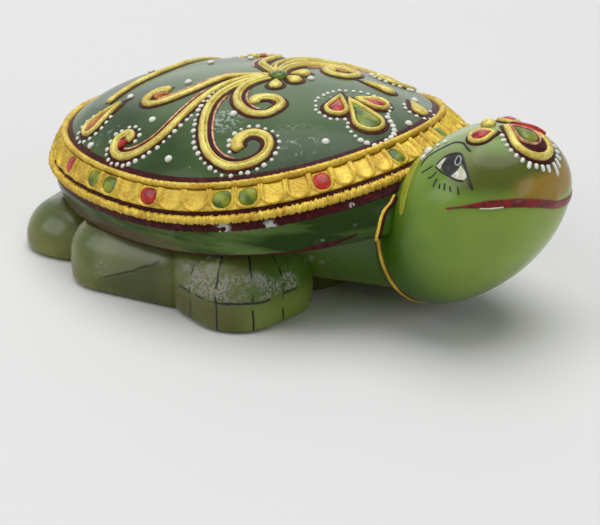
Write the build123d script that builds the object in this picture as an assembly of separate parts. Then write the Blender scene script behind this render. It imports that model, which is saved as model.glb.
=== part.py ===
from build123d import *

import math
import os

# A carved green stone turtle with raised gilt ornament, set drops and a jewelled rim.
# It faces +X with its right side towards -Y, and stands on its ground-flat underside.
# The origin is on the ground under the middle of its length and width.

# Shell: the upper part of one ellipsoid, pitched nose up
SHELL_LENGTH = 95.0
SHELL_WIDTH = 72.6
SHELL_CROWN = 19.4
SHELL_PITCH_DEGREES = 4.3
SHELL_LIFT = 17.6
SKIRT_DROP = 4.8
SKIRT_FRONT_RISE = 5.6

# Head, measured forward from the middle of the shell and up from the ground
HEAD_BACK = 38.5
HEAD_LENGTH = 28.4
HEAD_TOP = 39.2
HEAD_WIDTH = 33.6

# The joint of head and neck: a plane that leans forward at its foot, under a gilt line
NECK_TILT_DEGREES = 16.0
NECK_JOINT_HEIGHT = 20.5
NECK_RING_WIDTH = 1.0
NECK_RING_PROUD = 0.5

# Lower body: belly, the chest that narrows to the neck, and the tail
BELLY_LENGTH = 66.0
BELLY_WIDTH = 50.0
BELLY_SETBACK = 9.0
CHEST_BACK = 16.0
CHEST_WIDTH = 42.0
CHEST_DEPTH = 25.0
CHEST_HEIGHT = 13.0
TAIL_REACH = 52.0
TAIL_LENGTH = 16.0
TAIL_ROOT_RADIUS = 4.4
TAIL_TIP_RADIUS = 1.7
TAIL_TIP_ROUND = 1.3
TAIL_HEIGHT = 4.8

# Feet and the side bridges between them: rounded pads that reach up to the skirt
PAD_CORNER_ROUND = 9.5
PAD_TOP_ROUND = 7.8
PAD_SOLE_ROUND = 1.6
FRONT_FOOT_LENGTH = 24.0
FRONT_FOOT_WIDTH = 25.0
FRONT_FOOT_HEIGHT = 15.0
FRONT_FOOT_TURN_DEGREES = -10.0
BRIDGE_LENGTH = 34.0
BRIDGE_WIDTH = 27.0
BRIDGE_HEIGHT = 12.8
BRIDGE_TURN_DEGREES = 14.0
REAR_FOOT_LENGTH = 21.0
REAR_FOOT_WIDTH = 25.0
REAR_FOOT_HEIGHT = 9.6
REAR_FOOT_TURN_DEGREES = 12.0

# Gilt rim from the top down: a bead, a band of cups, a painted stripe and a rope.
# Its top line, and that line's rise to the front, are shares of the crown's height.
RIM_TOP_SHARE = 0.407
RIM_FRONT_RISE_SHARE = 0.423
RIM_BEAD_WIDTH = 0.9
RIM_BEAD_HEIGHT = 1.2
RIM_BAND_WIDTH = 3.6
RIM_BAND_HEIGHT = 0.9
RIM_STRIPE_WIDTH = 0.6
RIM_ROPE_WIDTH = 1.5
RIM_ROPE_HEIGHT = 1.2
CUP_DEPTH = 0.5
CUP_BORDER = 0.45
CUP_STONE_HEIGHT = 1.0

# Cups are counted round from the front, the same way on both sides
CUP_COUNT = 54
FIRST_CUP = 2
RED_CUPS = (6, 13, 18, 24)
GREEN_CUPS = (2, 9, 10, 15, 16, 21, 22)

# Raised ornament on the dome
STRAND_WIDTH = 1.7
STRAND_HEIGHT = 0.8
BEZEL_HEIGHT = 0.8
BEZEL_WALL = 0.9
STONE_HEIGHT = 1.1
DOT_RADIUS = 0.8
BUD_RADIUS = 1.5
PETAL_RADIUS = 1.35
TREFOIL_GREEN_RADIUS = 2.2
TREFOIL_RED_RADIUS = 1.4
FRONT_DROP_RADIUS = 1.7
REAR_DROP_RADIUS = 1.7
CURL_STONE_RADIUS = 0.85
LONG_DROP_RADIUS = 1.0
LEAF_RADIUS = 1.1

# Ornament of the head
BROW_DROP_RADIUS = 3.3
BROW_PETAL_RADIUS = 1.3
BROW_CREST_RADIUS = 1.4
OVERRUN = 5.0
TAPER_SHARE = 0.55
RIM_ROUNDS = 8

HALF_LENGTH = SHELL_LENGTH / 2
HALF_WIDTH = SHELL_WIDTH / 2
RIM_TOP = RIM_TOP_SHARE * SHELL_CROWN
RIM_FRONT_RISE = RIM_FRONT_RISE_SHARE * SHELL_CROWN
SHELL_X = (TAIL_REACH - HEAD_BACK - HEAD_LENGTH) / 2
MIDDLE = Pos(SHELL_X, 0, 0)
SHELL_PLACE = MIDDLE * Pos(0, 0, SHELL_LIFT) * Rot(0, -SHELL_PITCH_DEGREES, 0)
NODES = {}


# The shell in its own frame

def ellipsoid(grow=0.0):
    """The shell's whole ellipsoid, grown outwards by a relief height."""
    return scale(Sphere(1), by=(HALF_LENGTH + grow, HALF_WIDTH + grow, SHELL_CROWN + grow))


def under_line(height, front_rise):
    """All that lies under a line on the shell's side: level behind the middle, a parabola ahead."""
    far = HALF_LENGTH + TAIL_REACH
    low = -SHELL_CROWN - SHELL_LIFT
    end_height = height + front_rise * (far / HALF_LENGTH) ** 2
    behind = Line((-far, height), (0, height))
    ahead = Bezier((0, height), (far / 2, height), (far, end_height))
    around = Polyline((far, end_height), (far, low), (-far, low), (-far, height))
    profile = make_face(behind.edges() + ahead.edges() + around.edges())
    return extrude(Plane.XZ * profile, amount=SHELL_WIDTH, both=True)


SHELL_FORM = ellipsoid()
UNDER_SKIRT = under_line(-SKIRT_DROP, SKIRT_FRONT_RISE)
shell = SHELL_PLACE * (SHELL_FORM - UNDER_SKIRT)
NODES["shell"] = shell


# The head: upright ovals from the neck to the snout, the nape cut to the shell's front lip

STATION_SHARES = (0.0, 0.106, 0.246, 0.405, 0.563, 0.722, 0.845, 0.94, 0.986, 1.0)
LOW_SHARES = (0.078, 0.064, 0.064, 0.1, 0.173, 0.274, 0.38, 0.505, 0.625, 0.7)
HIGH_SHARES = (0.753, 0.83, 0.92, 0.976, 1.0, 0.99, 0.954, 0.898, 0.835, 0.775)
WIDTH_SHARES = (0.815, 0.893, 0.976, 1.0, 0.964, 0.857, 0.702, 0.512, 0.29, 0.09)


def upright_oval(x, height, width, depth):
    """An oval standing across the body."""
    return Plane(origin=(x, 0, height), x_dir=(0, 1, 0), z_dir=(1, 0, 0)) * Ellipse(width / 2, depth / 2)


def head_oval(number, grow=0.0):
    """One oval of the head, grown outwards by a relief height."""
    x = HEAD_BACK + STATION_SHARES[number] * (HEAD_LENGTH + grow)
    height = (HIGH_SHARES[number] + LOW_SHARES[number]) * HEAD_TOP / 2
    width = WIDTH_SHARES[number] * HEAD_WIDTH + 2 * grow
    depth = (HIGH_SHARES[number] - LOW_SHARES[number]) * HEAD_TOP + 2 * grow
    return upright_oval(x, height, width, depth)


def head_form(grow=0.0):
    """The head before it is fitted, grown outwards by a relief height."""
    return MIDDLE * loft([head_oval(number, grow) for number in range(len(STATION_SHARES))])


def behind_joint(forward=0.0):
    """All that lies behind the leaning joint of head and neck, moved forward by a width."""
    block = Box(HEAD_BACK, 2 * HEAD_WIDTH, 2 * HEAD_TOP, align=(Align.MAX, Align.CENTER, Align.CENTER))
    lean = Pos(HEAD_BACK, 0, NECK_JOINT_HEIGHT) * Rot(0, -NECK_TILT_DEGREES, 0)
    return MIDDLE * lean * Pos(forward, 0, 0) * block


HEAD_FORM = head_form()
NECK_SIDE = behind_joint()
NODES["head"] = HEAD_FORM - shell - NECK_SIDE


# The lower body: belly, chest and neck, tail, feet and bridges, carved as one stone

FRONT_FOOT_SHARES = (0.288, -0.62)
BRIDGE_SHARES = (-0.148, -0.627)
REAR_FOOT_SHARES = (-0.655, -0.57)


def pad(length, width, height, place_shares, turn):
    """A foot or bridge on the right: round corners, a broad round top and a small sole round."""
    block = extrude(RectangleRounded(length, width, PAD_CORNER_ROUND), amount=height)
    block = fillet(block.edges().group_by(Axis.Z)[-1], radius=PAD_TOP_ROUND)
    block = fillet(block.edges().group_by(Axis.Z)[0], radius=PAD_SOLE_ROUND)
    return Pos(place_shares[0] * HALF_LENGTH, place_shares[1] * HALF_WIDTH, 0) * Rot(0, 0, turn) * block


def make_underbody():
    """The whole lower stone, up to the skirt's seam."""
    belly = extrude(Ellipse(BELLY_LENGTH / 2, BELLY_WIDTH / 2), amount=SHELL_LIFT)
    chest_back = upright_oval(CHEST_BACK, CHEST_HEIGHT, CHEST_WIDTH, CHEST_DEPTH)
    tail = Cone(
        TAIL_ROOT_RADIUS, TAIL_TIP_RADIUS, TAIL_LENGTH, align=(Align.CENTER, Align.CENTER, Align.MAX))
    tail = fillet(tail.edges().group_by(Axis.Z)[-1], radius=TAIL_TIP_ROUND)
    form = Pos(-BELLY_SETBACK, 0, 0) * belly
    form += loft([chest_back, head_oval(0)])
    form += Pos(-TAIL_REACH, 0, TAIL_HEIGHT) * Rot(0, -90, 0) * tail
    front_foot = pad(
        FRONT_FOOT_LENGTH, FRONT_FOOT_WIDTH, FRONT_FOOT_HEIGHT,
        FRONT_FOOT_SHARES, FRONT_FOOT_TURN_DEGREES)
    bridge = pad(BRIDGE_LENGTH, BRIDGE_WIDTH, BRIDGE_HEIGHT, BRIDGE_SHARES, BRIDGE_TURN_DEGREES)
    rear_foot = pad(
        REAR_FOOT_LENGTH, REAR_FOOT_WIDTH, REAR_FOOT_HEIGHT,
        REAR_FOOT_SHARES, REAR_FOOT_TURN_DEGREES)
    for right in (front_foot, bridge, rear_foot):
        form += right
        form += mirror(right, Plane.XZ)
    nape = HEAD_FORM & NECK_SIDE
    return (MIDDLE * form + nape) & (SHELL_PLACE * UNDER_SKIRT)


NODES["underbody"] = make_underbody()


# The gilt line laid on the head along its joint with the neck

JOINT_STRIP = behind_joint(NECK_RING_WIDTH) - NECK_SIDE
NODES["neck_ring"] = (head_form(NECK_RING_PROUD) & JOINT_STRIP) - HEAD_FORM - shell


# Relief on the dome: plan outlines carried straight up onto the shell

def on_dome(shares):
    """A point of the dome's plan from shares of its half length and half width."""
    return Vector(shares[0] * HALF_LENGTH, shares[1] * HALF_WIDTH, 0)


def raised(outline, height):
    """What stands on the dome over an outline, as high as the relief."""
    column = extrude(outline, amount=SHELL_CROWN + OVERRUN)
    return (column & ellipsoid(height)) - SHELL_FORM


def strand(points_shares):
    """The outline of one brushed strand: even in the middle, narrower at its root and its curl."""
    path = Spline(*[on_dome(shares) for shares in points_shares])
    steps = 2 * len(points_shares)
    left = []
    right = []
    for step in range(steps + 1):
        share = step / steps
        half = STRAND_WIDTH / 2 * (TAPER_SHARE + (1 - TAPER_SHARE) * math.sin(math.pi * share) ** 0.5)
        along = path % share
        across = Vector(-along.Y, along.X, 0) * half
        left.append((path @ share) + across)
        right.append((path @ share) - across)
    sides = Spline(*left).edges() + Spline(*right).edges()
    ends = Line(left[0], right[0]).edges() + Line(left[-1], right[-1]).edges()
    return make_face(sides + ends)


def drop(tip, centre, radius, wall=0.0):
    """A teardrop outline with a round end, its whole edge moved out by a wall."""
    back = (tip - centre).normalized()
    apart = (tip - centre).length
    reach = apart * (radius + wall) / radius
    lean = math.degrees(math.acos((radius + wall) / reach))
    outer_tip = centre + back * reach
    near = centre + back.rotate(Axis.Z, lean) * (radius + wall)
    far = centre + back.rotate(Axis.Z, -lean) * (radius + wall)
    bottom = centre - back * (radius + wall)
    sides = Line(outer_tip, near).edges() + Line(far, outer_tip).edges()
    return make_face(sides + ThreePointArc(near, bottom, far).edges())


def both_sides(right):
    """A right-hand relief piece and its mirror image."""
    return right, mirror(right, Plane.XZ)


SCROLL_SHARES = {
    "long_scroll": (
        (0.03, -0.07), (-0.07, -0.13), (-0.108, -0.29), (-0.152, -0.412), (-0.203, -0.484),
        (-0.245, -0.506), (-0.288, -0.49), (-0.302, -0.454), (-0.298, -0.402), (-0.272, -0.365),
        (-0.234, -0.36)),
    "curl_scroll": (
        (-0.012, -0.155), (-0.033, -0.295), (-0.025, -0.461), (-0.024, -0.616), (-0.035, -0.725),
        (-0.073, -0.8), (-0.13, -0.841), (-0.186, -0.846), (-0.242, -0.818), (-0.265, -0.776),
        (-0.257, -0.735), (-0.231, -0.716), (-0.2, -0.726)),
    "large_scroll": (
        (0.026, -0.21), (0.018, -0.307), (0.042, -0.449), (0.09, -0.566), (0.146, -0.658), (0.2, -0.718),
        (0.268, -0.751), (0.331, -0.75), (0.386, -0.716), (0.422, -0.663), (0.434, -0.6), (0.411, -0.542),
        (0.369, -0.522), (0.322, -0.54), (0.3, -0.589), (0.309, -0.637), (0.338, -0.655)),
    "small_scroll": (
        (0.08, -0.082), (0.068, -0.156), (0.08, -0.258), (0.118, -0.345), (0.184, -0.404), (0.25, -0.418),
        (0.297, -0.387), (0.312, -0.319), (0.3, -0.263), (0.257, -0.242), (0.215, -0.258), (0.192, -0.307),
        (0.212, -0.337)),
}

for name, points_shares in SCROLL_SHARES.items():
    right, left = both_sides(raised(strand(points_shares), STRAND_HEIGHT))
    NODES["right_" + name] = SHELL_PLACE * right
    NODES["left_" + name] = SHELL_PLACE * left

GARLAND_SHARES = ((-0.53, -0.47), (-0.514, -0.275), (-0.48, 0.0), (-0.514, 0.275), (-0.53, 0.47))
NODES["rear_garland"] = SHELL_PLACE * raised(strand(GARLAND_SHARES), STRAND_HEIGHT)


# Buds, drops, leaf and dots on the dome; each drop is the tip and the middle of its round end

BUD_SHARES = (0.118, 0.0)
BUD_PETAL_SHARES = (
    ((0.158, 0.0), (0.205, 0.0)),
    ((0.142, -0.055), (0.176, -0.118)),
    ((0.142, 0.055), (0.176, 0.118)))
TREFOIL_GREEN_SHARES = ((0.505, -0.02), (0.63, -0.1))
TREFOIL_RED_SHARES = (
    ((0.452, -0.036), (0.492, -0.13)),
    ((0.512, 0.052), (0.566, 0.094)))
FRONT_DROP_SHARES = ((0.592, 0.325), (0.666, 0.28))
LEAF_SHARES = ((0.377, 0.293), (0.5, 0.312))
REAR_DROP_SHARES = ((-0.44, -0.525), (-0.486, -0.65))
LONG_DROP_SHARES = ((-0.21, -0.4), (-0.252, -0.43))
CURL_STONE_SHARES = ((-0.185, -0.752), (-0.206, -0.79))
PAIRED_DOT_SHARES = (
    (0.07, -0.818), (-0.15, -0.624), (-0.4, -0.78), (-0.42, -0.43), (-0.207, -0.257),
    (0.178, -0.462), (0.587, -0.382))
SINGLE_DOT_SHARES = ((-0.32, 0.086), (0.236, 0.084), (0.72, 0.084), (-0.62, 0.0))


def stones(places, radius):
    """Set drops of one size, as separate solids."""
    return [raised(drop(on_dome(tip), on_dome(centre), radius), STONE_HEIGHT) for tip, centre in places]


def bezel(places, radii):
    """Gilt walls round set drops, joined where they meet, with the drops' own holes."""
    walls = None
    for (tip, centre), radius in zip(places, radii):
        outline = drop(on_dome(tip), on_dome(centre), radius, BEZEL_WALL)
        walls = outline if walls is None else walls + outline
    for (tip, centre), radius in zip(places, radii):
        walls -= drop(on_dome(tip), on_dome(centre), radius)
    return raised(walls, BEZEL_HEIGHT)


def group(shapes):
    """Separate solids of one kind in the shell's place."""
    return Compound(children=[SHELL_PLACE * solid for shape in shapes for solid in shape.solids()])


def dot(shares):
    """A hemispherical paint dot standing on the dome."""
    spot = on_dome(shares)
    flat = (spot.X / HALF_LENGTH) ** 2 + (spot.Y / HALF_WIDTH) ** 2
    return Pos(spot.X, spot.Y, SHELL_CROWN * math.sqrt(1 - flat)) * Sphere(DOT_RADIUS) - SHELL_FORM


TREFOIL_SHARES = (TREFOIL_GREEN_SHARES, *TREFOIL_RED_SHARES)
TREFOIL_RADII = (TREFOIL_GREEN_RADIUS, TREFOIL_RED_RADIUS, TREFOIL_RED_RADIUS)
REAR_DROPS = both_sides(bezel([REAR_DROP_SHARES], [REAR_DROP_RADIUS]))
REAR_STONES = both_sides(stones([REAR_DROP_SHARES], REAR_DROP_RADIUS)[0])
LONG_DROPS = both_sides(stones([LONG_DROP_SHARES], LONG_DROP_RADIUS)[0])
CURL_STONES = both_sides(stones([CURL_STONE_SHARES], CURL_STONE_RADIUS)[0])
NODES["bud_stone"] = SHELL_PLACE * raised(Pos(on_dome(BUD_SHARES)) * Circle(BUD_RADIUS), STONE_HEIGHT)
NODES["bud_petals"] = group(stones(BUD_PETAL_SHARES, PETAL_RADIUS))
NODES["trefoil_bezel"] = SHELL_PLACE * bezel(TREFOIL_SHARES, TREFOIL_RADII)
NODES["trefoil_green_drop"] = group(stones([TREFOIL_GREEN_SHARES], TREFOIL_GREEN_RADIUS))
NODES["trefoil_red_drops"] = group(stones(TREFOIL_RED_SHARES, TREFOIL_RED_RADIUS))
NODES["front_drop"] = group(stones([FRONT_DROP_SHARES], FRONT_DROP_RADIUS))
NODES["crest_leaf"] = group(stones([LEAF_SHARES], LEAF_RADIUS))
NODES["rear_drop_bezels"] = group(REAR_DROPS)
NODES["rear_drop_stones"] = group(REAR_STONES)
NODES["long_scroll_drops"] = group(LONG_DROPS)
NODES["curl_stones"] = group(CURL_STONES)
DOTS = [dot(shares) for shares in SINGLE_DOT_SHARES]
for shares in PAIRED_DOT_SHARES:
    DOTS.extend(both_sides(dot(shares)))
NODES["white_dots"] = group(DOTS)


# The gilt rim: rings of relief between swept lines, broken where the head stands in front

def rim_ring(top, width, height):
    """A ring of relief from a swept line down, cut away at the head."""
    column = under_line(top, RIM_FRONT_RISE) - under_line(top - width, RIM_FRONT_RISE)
    ring = (column & ellipsoid(height)) - SHELL_FORM
    return SHELL_PLACE * ring - HEAD_FORM


def rim_point(angle, height):
    """Where the swept line at a height meets the shell, at an angle of its oval plan."""
    level = height
    for turn in range(RIM_ROUNDS):
        level_share = math.sqrt(1 - (level / SHELL_CROWN) ** 2)
        x = HALF_LENGTH * level_share * math.cos(angle)
        level = height + RIM_FRONT_RISE * max(x / HALF_LENGTH, 0) ** 2
    return Vector(x, HALF_WIDTH * level_share * math.sin(angle), level)


def cup(place_number, side):
    """The hollow of one cup: straight top, round bottom, square to the shell, down to the cup's floor."""
    angle = side * place_number * 2 * math.pi / CUP_COUNT
    half_step = math.pi / CUP_COUNT
    middle = RIM_TOP - RIM_BEAD_WIDTH - RIM_BAND_WIDTH / 2
    centre = rim_point(angle, middle)
    along = rim_point(angle + half_step, middle) - rim_point(angle - half_step, middle)
    outward = Vector(
        centre.X / HALF_LENGTH ** 2, centre.Y / HALF_WIDTH ** 2, centre.Z / SHELL_CROWN ** 2)
    half_width = along.length / 2 - CUP_BORDER / 2
    half_height = RIM_BAND_WIDTH / 2 - CUP_BORDER
    upright = Plane(origin=centre, x_dir=along, z_dir=outward)
    rim = Polyline((-half_width, 0), (-half_width, half_height), (half_width, half_height), (half_width, 0))
    bowl = ThreePointArc((half_width, 0), (0, -half_height), (-half_width, 0))
    return extrude(upright * make_face(rim.edges() + bowl.edges()), amount=OVERRUN / 2, both=True)


CUP_FLOOR = ellipsoid(RIM_BAND_HEIGHT - CUP_DEPTH)
CUP_STONE_FORM = ellipsoid(CUP_STONE_HEIGHT)
BAND_TOP = RIM_TOP - RIM_BEAD_WIDTH
ROPE_TOP = BAND_TOP - RIM_BAND_WIDTH - RIM_STRIPE_WIDTH
LAST_CUP = CUP_COUNT // 2
cups = {}
for number in range(FIRST_CUP, LAST_CUP + 1):
    for side in (-1, 1):
        if number < LAST_CUP or side < 0:
            cups[number, side] = cup(number, side)


def cup_stones(numbers):
    """The stones that fill the cups of one colour, a little proud of the band."""
    filled = [hollow for (number, side), hollow in cups.items() if number in numbers]
    return group((hollow & CUP_STONE_FORM) - CUP_FLOOR for hollow in filled)


hollows = [SHELL_PLACE * (hollow - CUP_FLOOR) for hollow in cups.values()]
NODES["rim_bead"] = rim_ring(RIM_TOP, RIM_BEAD_WIDTH, RIM_BEAD_HEIGHT)
NODES["rim_cup_band"] = rim_ring(BAND_TOP, RIM_BAND_WIDTH, RIM_BAND_HEIGHT) - hollows
NODES["rim_rope"] = rim_ring(ROPE_TOP, RIM_ROPE_WIDTH, RIM_ROPE_HEIGHT)
NODES["rim_red_stones"] = cup_stones(RED_CUPS)
NODES["rim_green_stones"] = cup_stones(GREEN_CUPS)


# Brow ornament: drops and a round crest on the head, in shares of its length and half width

BROW_DROP_SHARES = ((0.62, 0.0), (0.8, 0.0))
BROW_PETAL_SHARES = (((0.6, -0.16), (0.53, -0.28)), ((0.6, 0.16), (0.53, 0.28)))
BROW_CREST_SHARES = (0.49, 0.0)
BROW_SHARE = 0.78


def on_brow(shares):
    """A point of the head's plan, at the level where the snout is blunt."""
    return Vector(HEAD_BACK + shares[0] * HEAD_LENGTH, shares[1] * HEAD_WIDTH / 2, BROW_SHARE * HEAD_TOP)


def raised_on_brow(outline, height):
    """What stands on the head over an outline, as high as the relief."""
    column = MIDDLE * extrude(outline, amount=HEAD_TOP)
    return (column & head_form(height)) - HEAD_FORM


def brow_drop(shares, radius, wall=0.0):
    """A drop's outline on the brow."""
    return drop(on_brow(shares[0]), on_brow(shares[1]), radius, wall)


BROW_GREEN = brow_drop(BROW_DROP_SHARES, BROW_DROP_RADIUS)
BROW_WALL = brow_drop(BROW_DROP_SHARES, BROW_DROP_RADIUS, BEZEL_WALL) - BROW_GREEN
BROW_PETALS = Sketch() + [brow_drop(shares, BROW_PETAL_RADIUS) for shares in BROW_PETAL_SHARES]
NODES["brow_bezel"] = raised_on_brow(BROW_WALL, BEZEL_HEIGHT)
NODES["brow_green_drop"] = raised_on_brow(BROW_GREEN, STONE_HEIGHT)
NODES["brow_red_petals"] = raised_on_brow(BROW_PETALS, STONE_HEIGHT)
BROW_CREST = Pos(on_brow(BROW_CREST_SHARES)) * Circle(BROW_CREST_RADIUS)
NODES["brow_crest"] = raised_on_brow(BROW_CREST, STONE_HEIGHT)

os.makedirs("parts", exist_ok=True)
for name, shape in NODES.items():
    export_step(shape, "parts/" + name + ".step")
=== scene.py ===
import math

import bmesh
import bpy
import numpy as np
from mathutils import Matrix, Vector


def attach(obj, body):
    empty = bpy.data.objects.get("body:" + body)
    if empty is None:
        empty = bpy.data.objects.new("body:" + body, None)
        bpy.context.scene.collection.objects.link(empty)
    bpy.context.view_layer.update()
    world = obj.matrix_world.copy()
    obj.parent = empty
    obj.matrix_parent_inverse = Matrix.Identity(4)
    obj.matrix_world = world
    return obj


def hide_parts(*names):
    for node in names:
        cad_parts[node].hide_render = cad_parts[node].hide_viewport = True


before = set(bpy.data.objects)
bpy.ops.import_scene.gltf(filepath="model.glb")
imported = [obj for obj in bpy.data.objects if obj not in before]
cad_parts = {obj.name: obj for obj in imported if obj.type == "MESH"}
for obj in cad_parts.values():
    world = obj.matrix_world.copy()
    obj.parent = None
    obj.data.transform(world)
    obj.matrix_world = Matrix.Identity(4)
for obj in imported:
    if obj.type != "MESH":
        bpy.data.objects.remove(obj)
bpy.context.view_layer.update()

# Shell: the turtle's dome, one dark green stone ground to an ellipsoid, pitched nose up, bonded to the body.
# It is polished to a gloss over clouds in the stone, with a frosted patch and fine scratches. Its skirt
# below the rim is left duller, streaked in two greens, and brown along its foot.
SHELL_HALF = np.array((0.0475, 0.0363, 0.0194))
SHELL_CENTRE = np.array((-0.00745, 0.0, 0.0176))
SHELL_PITCH = math.radians(4.3)
RIM_RISE = 0.0082
FROST_SPOT = (-0.0013, 0.0192, 0.0345, 0.0050)
SCRATCH_SPOT = (0.0150, 0.0170, 0.0355, 0.0068)
SPOT_CORE = 0.4
STREAK_FLATTENING = (1.0, 1.0, 6.0)
SHELL_RELIEF = 0.00014
SHELL_DEEP = (0.018, 0.044, 0.012)
SHELL_PALE = (0.074, 0.128, 0.044)
SHELL_TOP_REFLECTION = (0.165, 0.250, 0.125)
SHELL_FROST = (0.36, 0.42, 0.36)
SKIRT_DARK = (0.022, 0.046, 0.006)
SKIRT_GREEN = (0.130, 0.210, 0.056)
SKIRT_CHEEK = (0.050, 0.130, 0.004)
SKIRT_BROWN = (0.095, 0.064, 0.030)


class Value:
    """One socket of a material's nodes. Arithmetic on it adds Math nodes."""

    def __init__(self, tree, socket):
        self.tree = tree
        self.socket = socket

    def node(self, kind, settings, inputs, output=0):
        """A new node: its settings first, then a value or a link for each socket."""
        made = self.tree.nodes.new(kind)
        for name, value in settings.items():
            setattr(made, name, value)
        for name, value in inputs.items():
            if isinstance(value, Value):
                self.tree.links.new(value.socket, made.inputs[name])
            else:
                made.inputs[name].default_value = value
        return Value(self.tree, made.outputs[output])

    def math(self, operation, other=0.0):
        return self.node("ShaderNodeMath", {"operation": operation}, {0: self, 1: other})

    def most(self, other):
        return self.math("MAXIMUM", other)

    def __add__(self, other):
        return self.math("ADD", other)

    def __sub__(self, other):
        return self.math("SUBTRACT", other)

    def __mul__(self, other):
        return self.math("MULTIPLY", other)

    def __abs__(self):
        return self.math("ABSOLUTE")

    __radd__ = __add__
    __rmul__ = __mul__

    def between(self, low, high):
        """0 up to low, 1 from high on, and smooth in between."""
        inputs = {"Value": self, "From Min": low, "From Max": high}
        return self.node("ShaderNodeMapRange", {"interpolation_type": "SMOOTHSTEP"}, inputs)

    def noise(self, scale, detail=3.0):
        """Soft noise about 0.5, with scale features to the metre."""
        inputs = {"Vector": self, "Scale": scale, "Detail": detail}
        return self.node("ShaderNodeTexNoise", {}, inputs, "Fac")

    def patches(self, scale, low, high, detail=3.0):
        """Noise cut to 0 up to low and to 1 from high on."""
        return self.noise(scale, detail).between(low, high)

    def axis(self, name):
        return self.node("ShaderNodeSeparateXYZ", {}, {0: self}, name)

    def tint(self, first, second):
        """The first colour where this value is 0, the second where it is 1."""
        inputs = {0: self}
        for place, colour in ((6, first), (7, second)):
            inputs[place] = colour if isinstance(colour, Value) else (*colour, 1.0)
        return self.node("ShaderNodeMix", {"data_type": "RGBA"}, inputs, 2)


class Finish:
    """A material of one shader, with its even values set on the shader's own sockets. The slot it keeps is
    not used.
    """

    def __init__(self, name, values, slot=None):
        self.slot = slot
        self.material = bpy.data.materials.new(name)
        self.material.use_nodes = True
        self.tree = self.material.node_tree
        self.shader = self.tree.nodes["Principled BSDF"]
        for socket, value in values.items():
            self.shader.inputs[socket].default_value = value
        coordinates = self.tree.nodes.new("ShaderNodeTexCoord")
        self.place = Value(self.tree, coordinates.outputs["Object"])

    def link(self, socket, value):
        self.tree.links.new(value.socket, self.shader.inputs[socket])

    def bump(self, height, depth):
        """Relief of a depth in metres under the gloss."""
        inputs = {"Height": height, "Distance": depth, "Strength": 1.0}
        self.link("Normal", height.node("ShaderNodeBump", {}, inputs))


def layered(colour, *layers):
    """A colour with others laid over it in turn, each as far as its mask is 1."""
    for mask, other in layers:
        colour = mask.tint(colour, other)
    return colour


def near_spot(place, spot):
    """1 by a spot (x, |y|, z, reach) on both sides of the middle, falling to 0 at its reach."""
    both = place.node("ShaderNodeVectorMath", {"operation": "ABSOLUTE"}, {0: place})
    folded = {0: place.axis("X"), 1: both.axis("Y"), 2: place.axis("Z")}
    ends = {0: place.node("ShaderNodeCombineXYZ", {}, folded), 1: spot[:3]}
    apart = place.node("ShaderNodeVectorMath", {"operation": "DISTANCE"}, ends, "Value")
    return apart.between(spot[3], SPOT_CORE * spot[3])


def dress(node, finish):
    """A finish for a stone that is shown as it was constructed."""
    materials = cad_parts[node].data.materials
    materials.clear()
    materials.append(finish.material)


shell_stone = Finish("dark_jade_stone", {"Specular IOR Level": 0.08, "Coat Roughness": 0.06})
shell_at = shell_stone.place
shell_x, shell_z = shell_at.axis("X"), shell_at.axis("Z")
clouds = shell_at.patches(48, 0.3, 0.72, 5)
scuffs = shell_at.patches(520, 0.6, 0.7, 4) * shell_at.patches(62, 0.56, 0.68)
frosted = near_spot(shell_at, FROST_SPOT) * shell_at.patches(1500, 0.50, 0.57, 4)
scratched = near_spot(shell_at, SCRATCH_SPOT) * abs(shell_at.noise(700, 2) - 0.5).between(0.022, 0.012)
scratched = scratched * shell_at.patches(420, 0.50, 0.58)
scuffs = scuffs.most(frosted.most(scratched))
from_middle = shell_x - SHELL_CENTRE[0]
level = (shell_z - SHELL_CENTRE[2]) - math.tan(SHELL_PITCH) * from_middle
ahead = (from_middle * (1 / SHELL_HALF[0])).most(0.0)
skirt = (level - RIM_RISE * ahead * ahead).between(0.003, 0.001)
flattening = {0: shell_at, 1: STREAK_FLATTENING}
flattened = shell_at.node("ShaderNodeVectorMath", {"operation": "MULTIPLY"}, flattening)
streaks = flattened.patches(52, 0.36, 0.68, 4)
brown_foot = level.between(-0.0012, -0.0028) * shell_x.between(0.010, -0.006)
by_cheek = shell_x.between(0.0339, 0.0342) * level.between(0.0078, 0.0070)
# the skirt's streaks in two greens, with painted shade darkening them toward the front by the head
skirt_streaks_and_shade = (streaks - 0.6 * shell_x.between(0.012, 0.026)).tint(SKIRT_DARK, SKIRT_GREEN)
shell_stone.link("Base Color", layered(
    clouds.tint(SHELL_DEEP, SHELL_PALE),
    # painted reflection: the top of the dome is painted paler
    (0.55 * shell_z.between(0.0295, 0.0375), SHELL_TOP_REFLECTION),
    (skirt, layered(skirt_streaks_and_shade, (0.85 * brown_foot, SKIRT_BROWN))),
    (scuffs, SHELL_FROST),
    (by_cheek, SKIRT_CHEEK)))
shell_stone.link("Roughness", 0.14 + 0.4 * scuffs + 0.12 * shell_at.noise(150))
shell_stone.link("Coat Weight", -0.1 * skirt.most(by_cheek) + 0.11)
shell_relief = shell_at.noise(90) + 0.25 * shell_at.noise(900) + 0.6 * skirt * streaks
shell_stone.bump(shell_relief, SHELL_RELIEF)
dress("shell", shell_stone)
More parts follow.
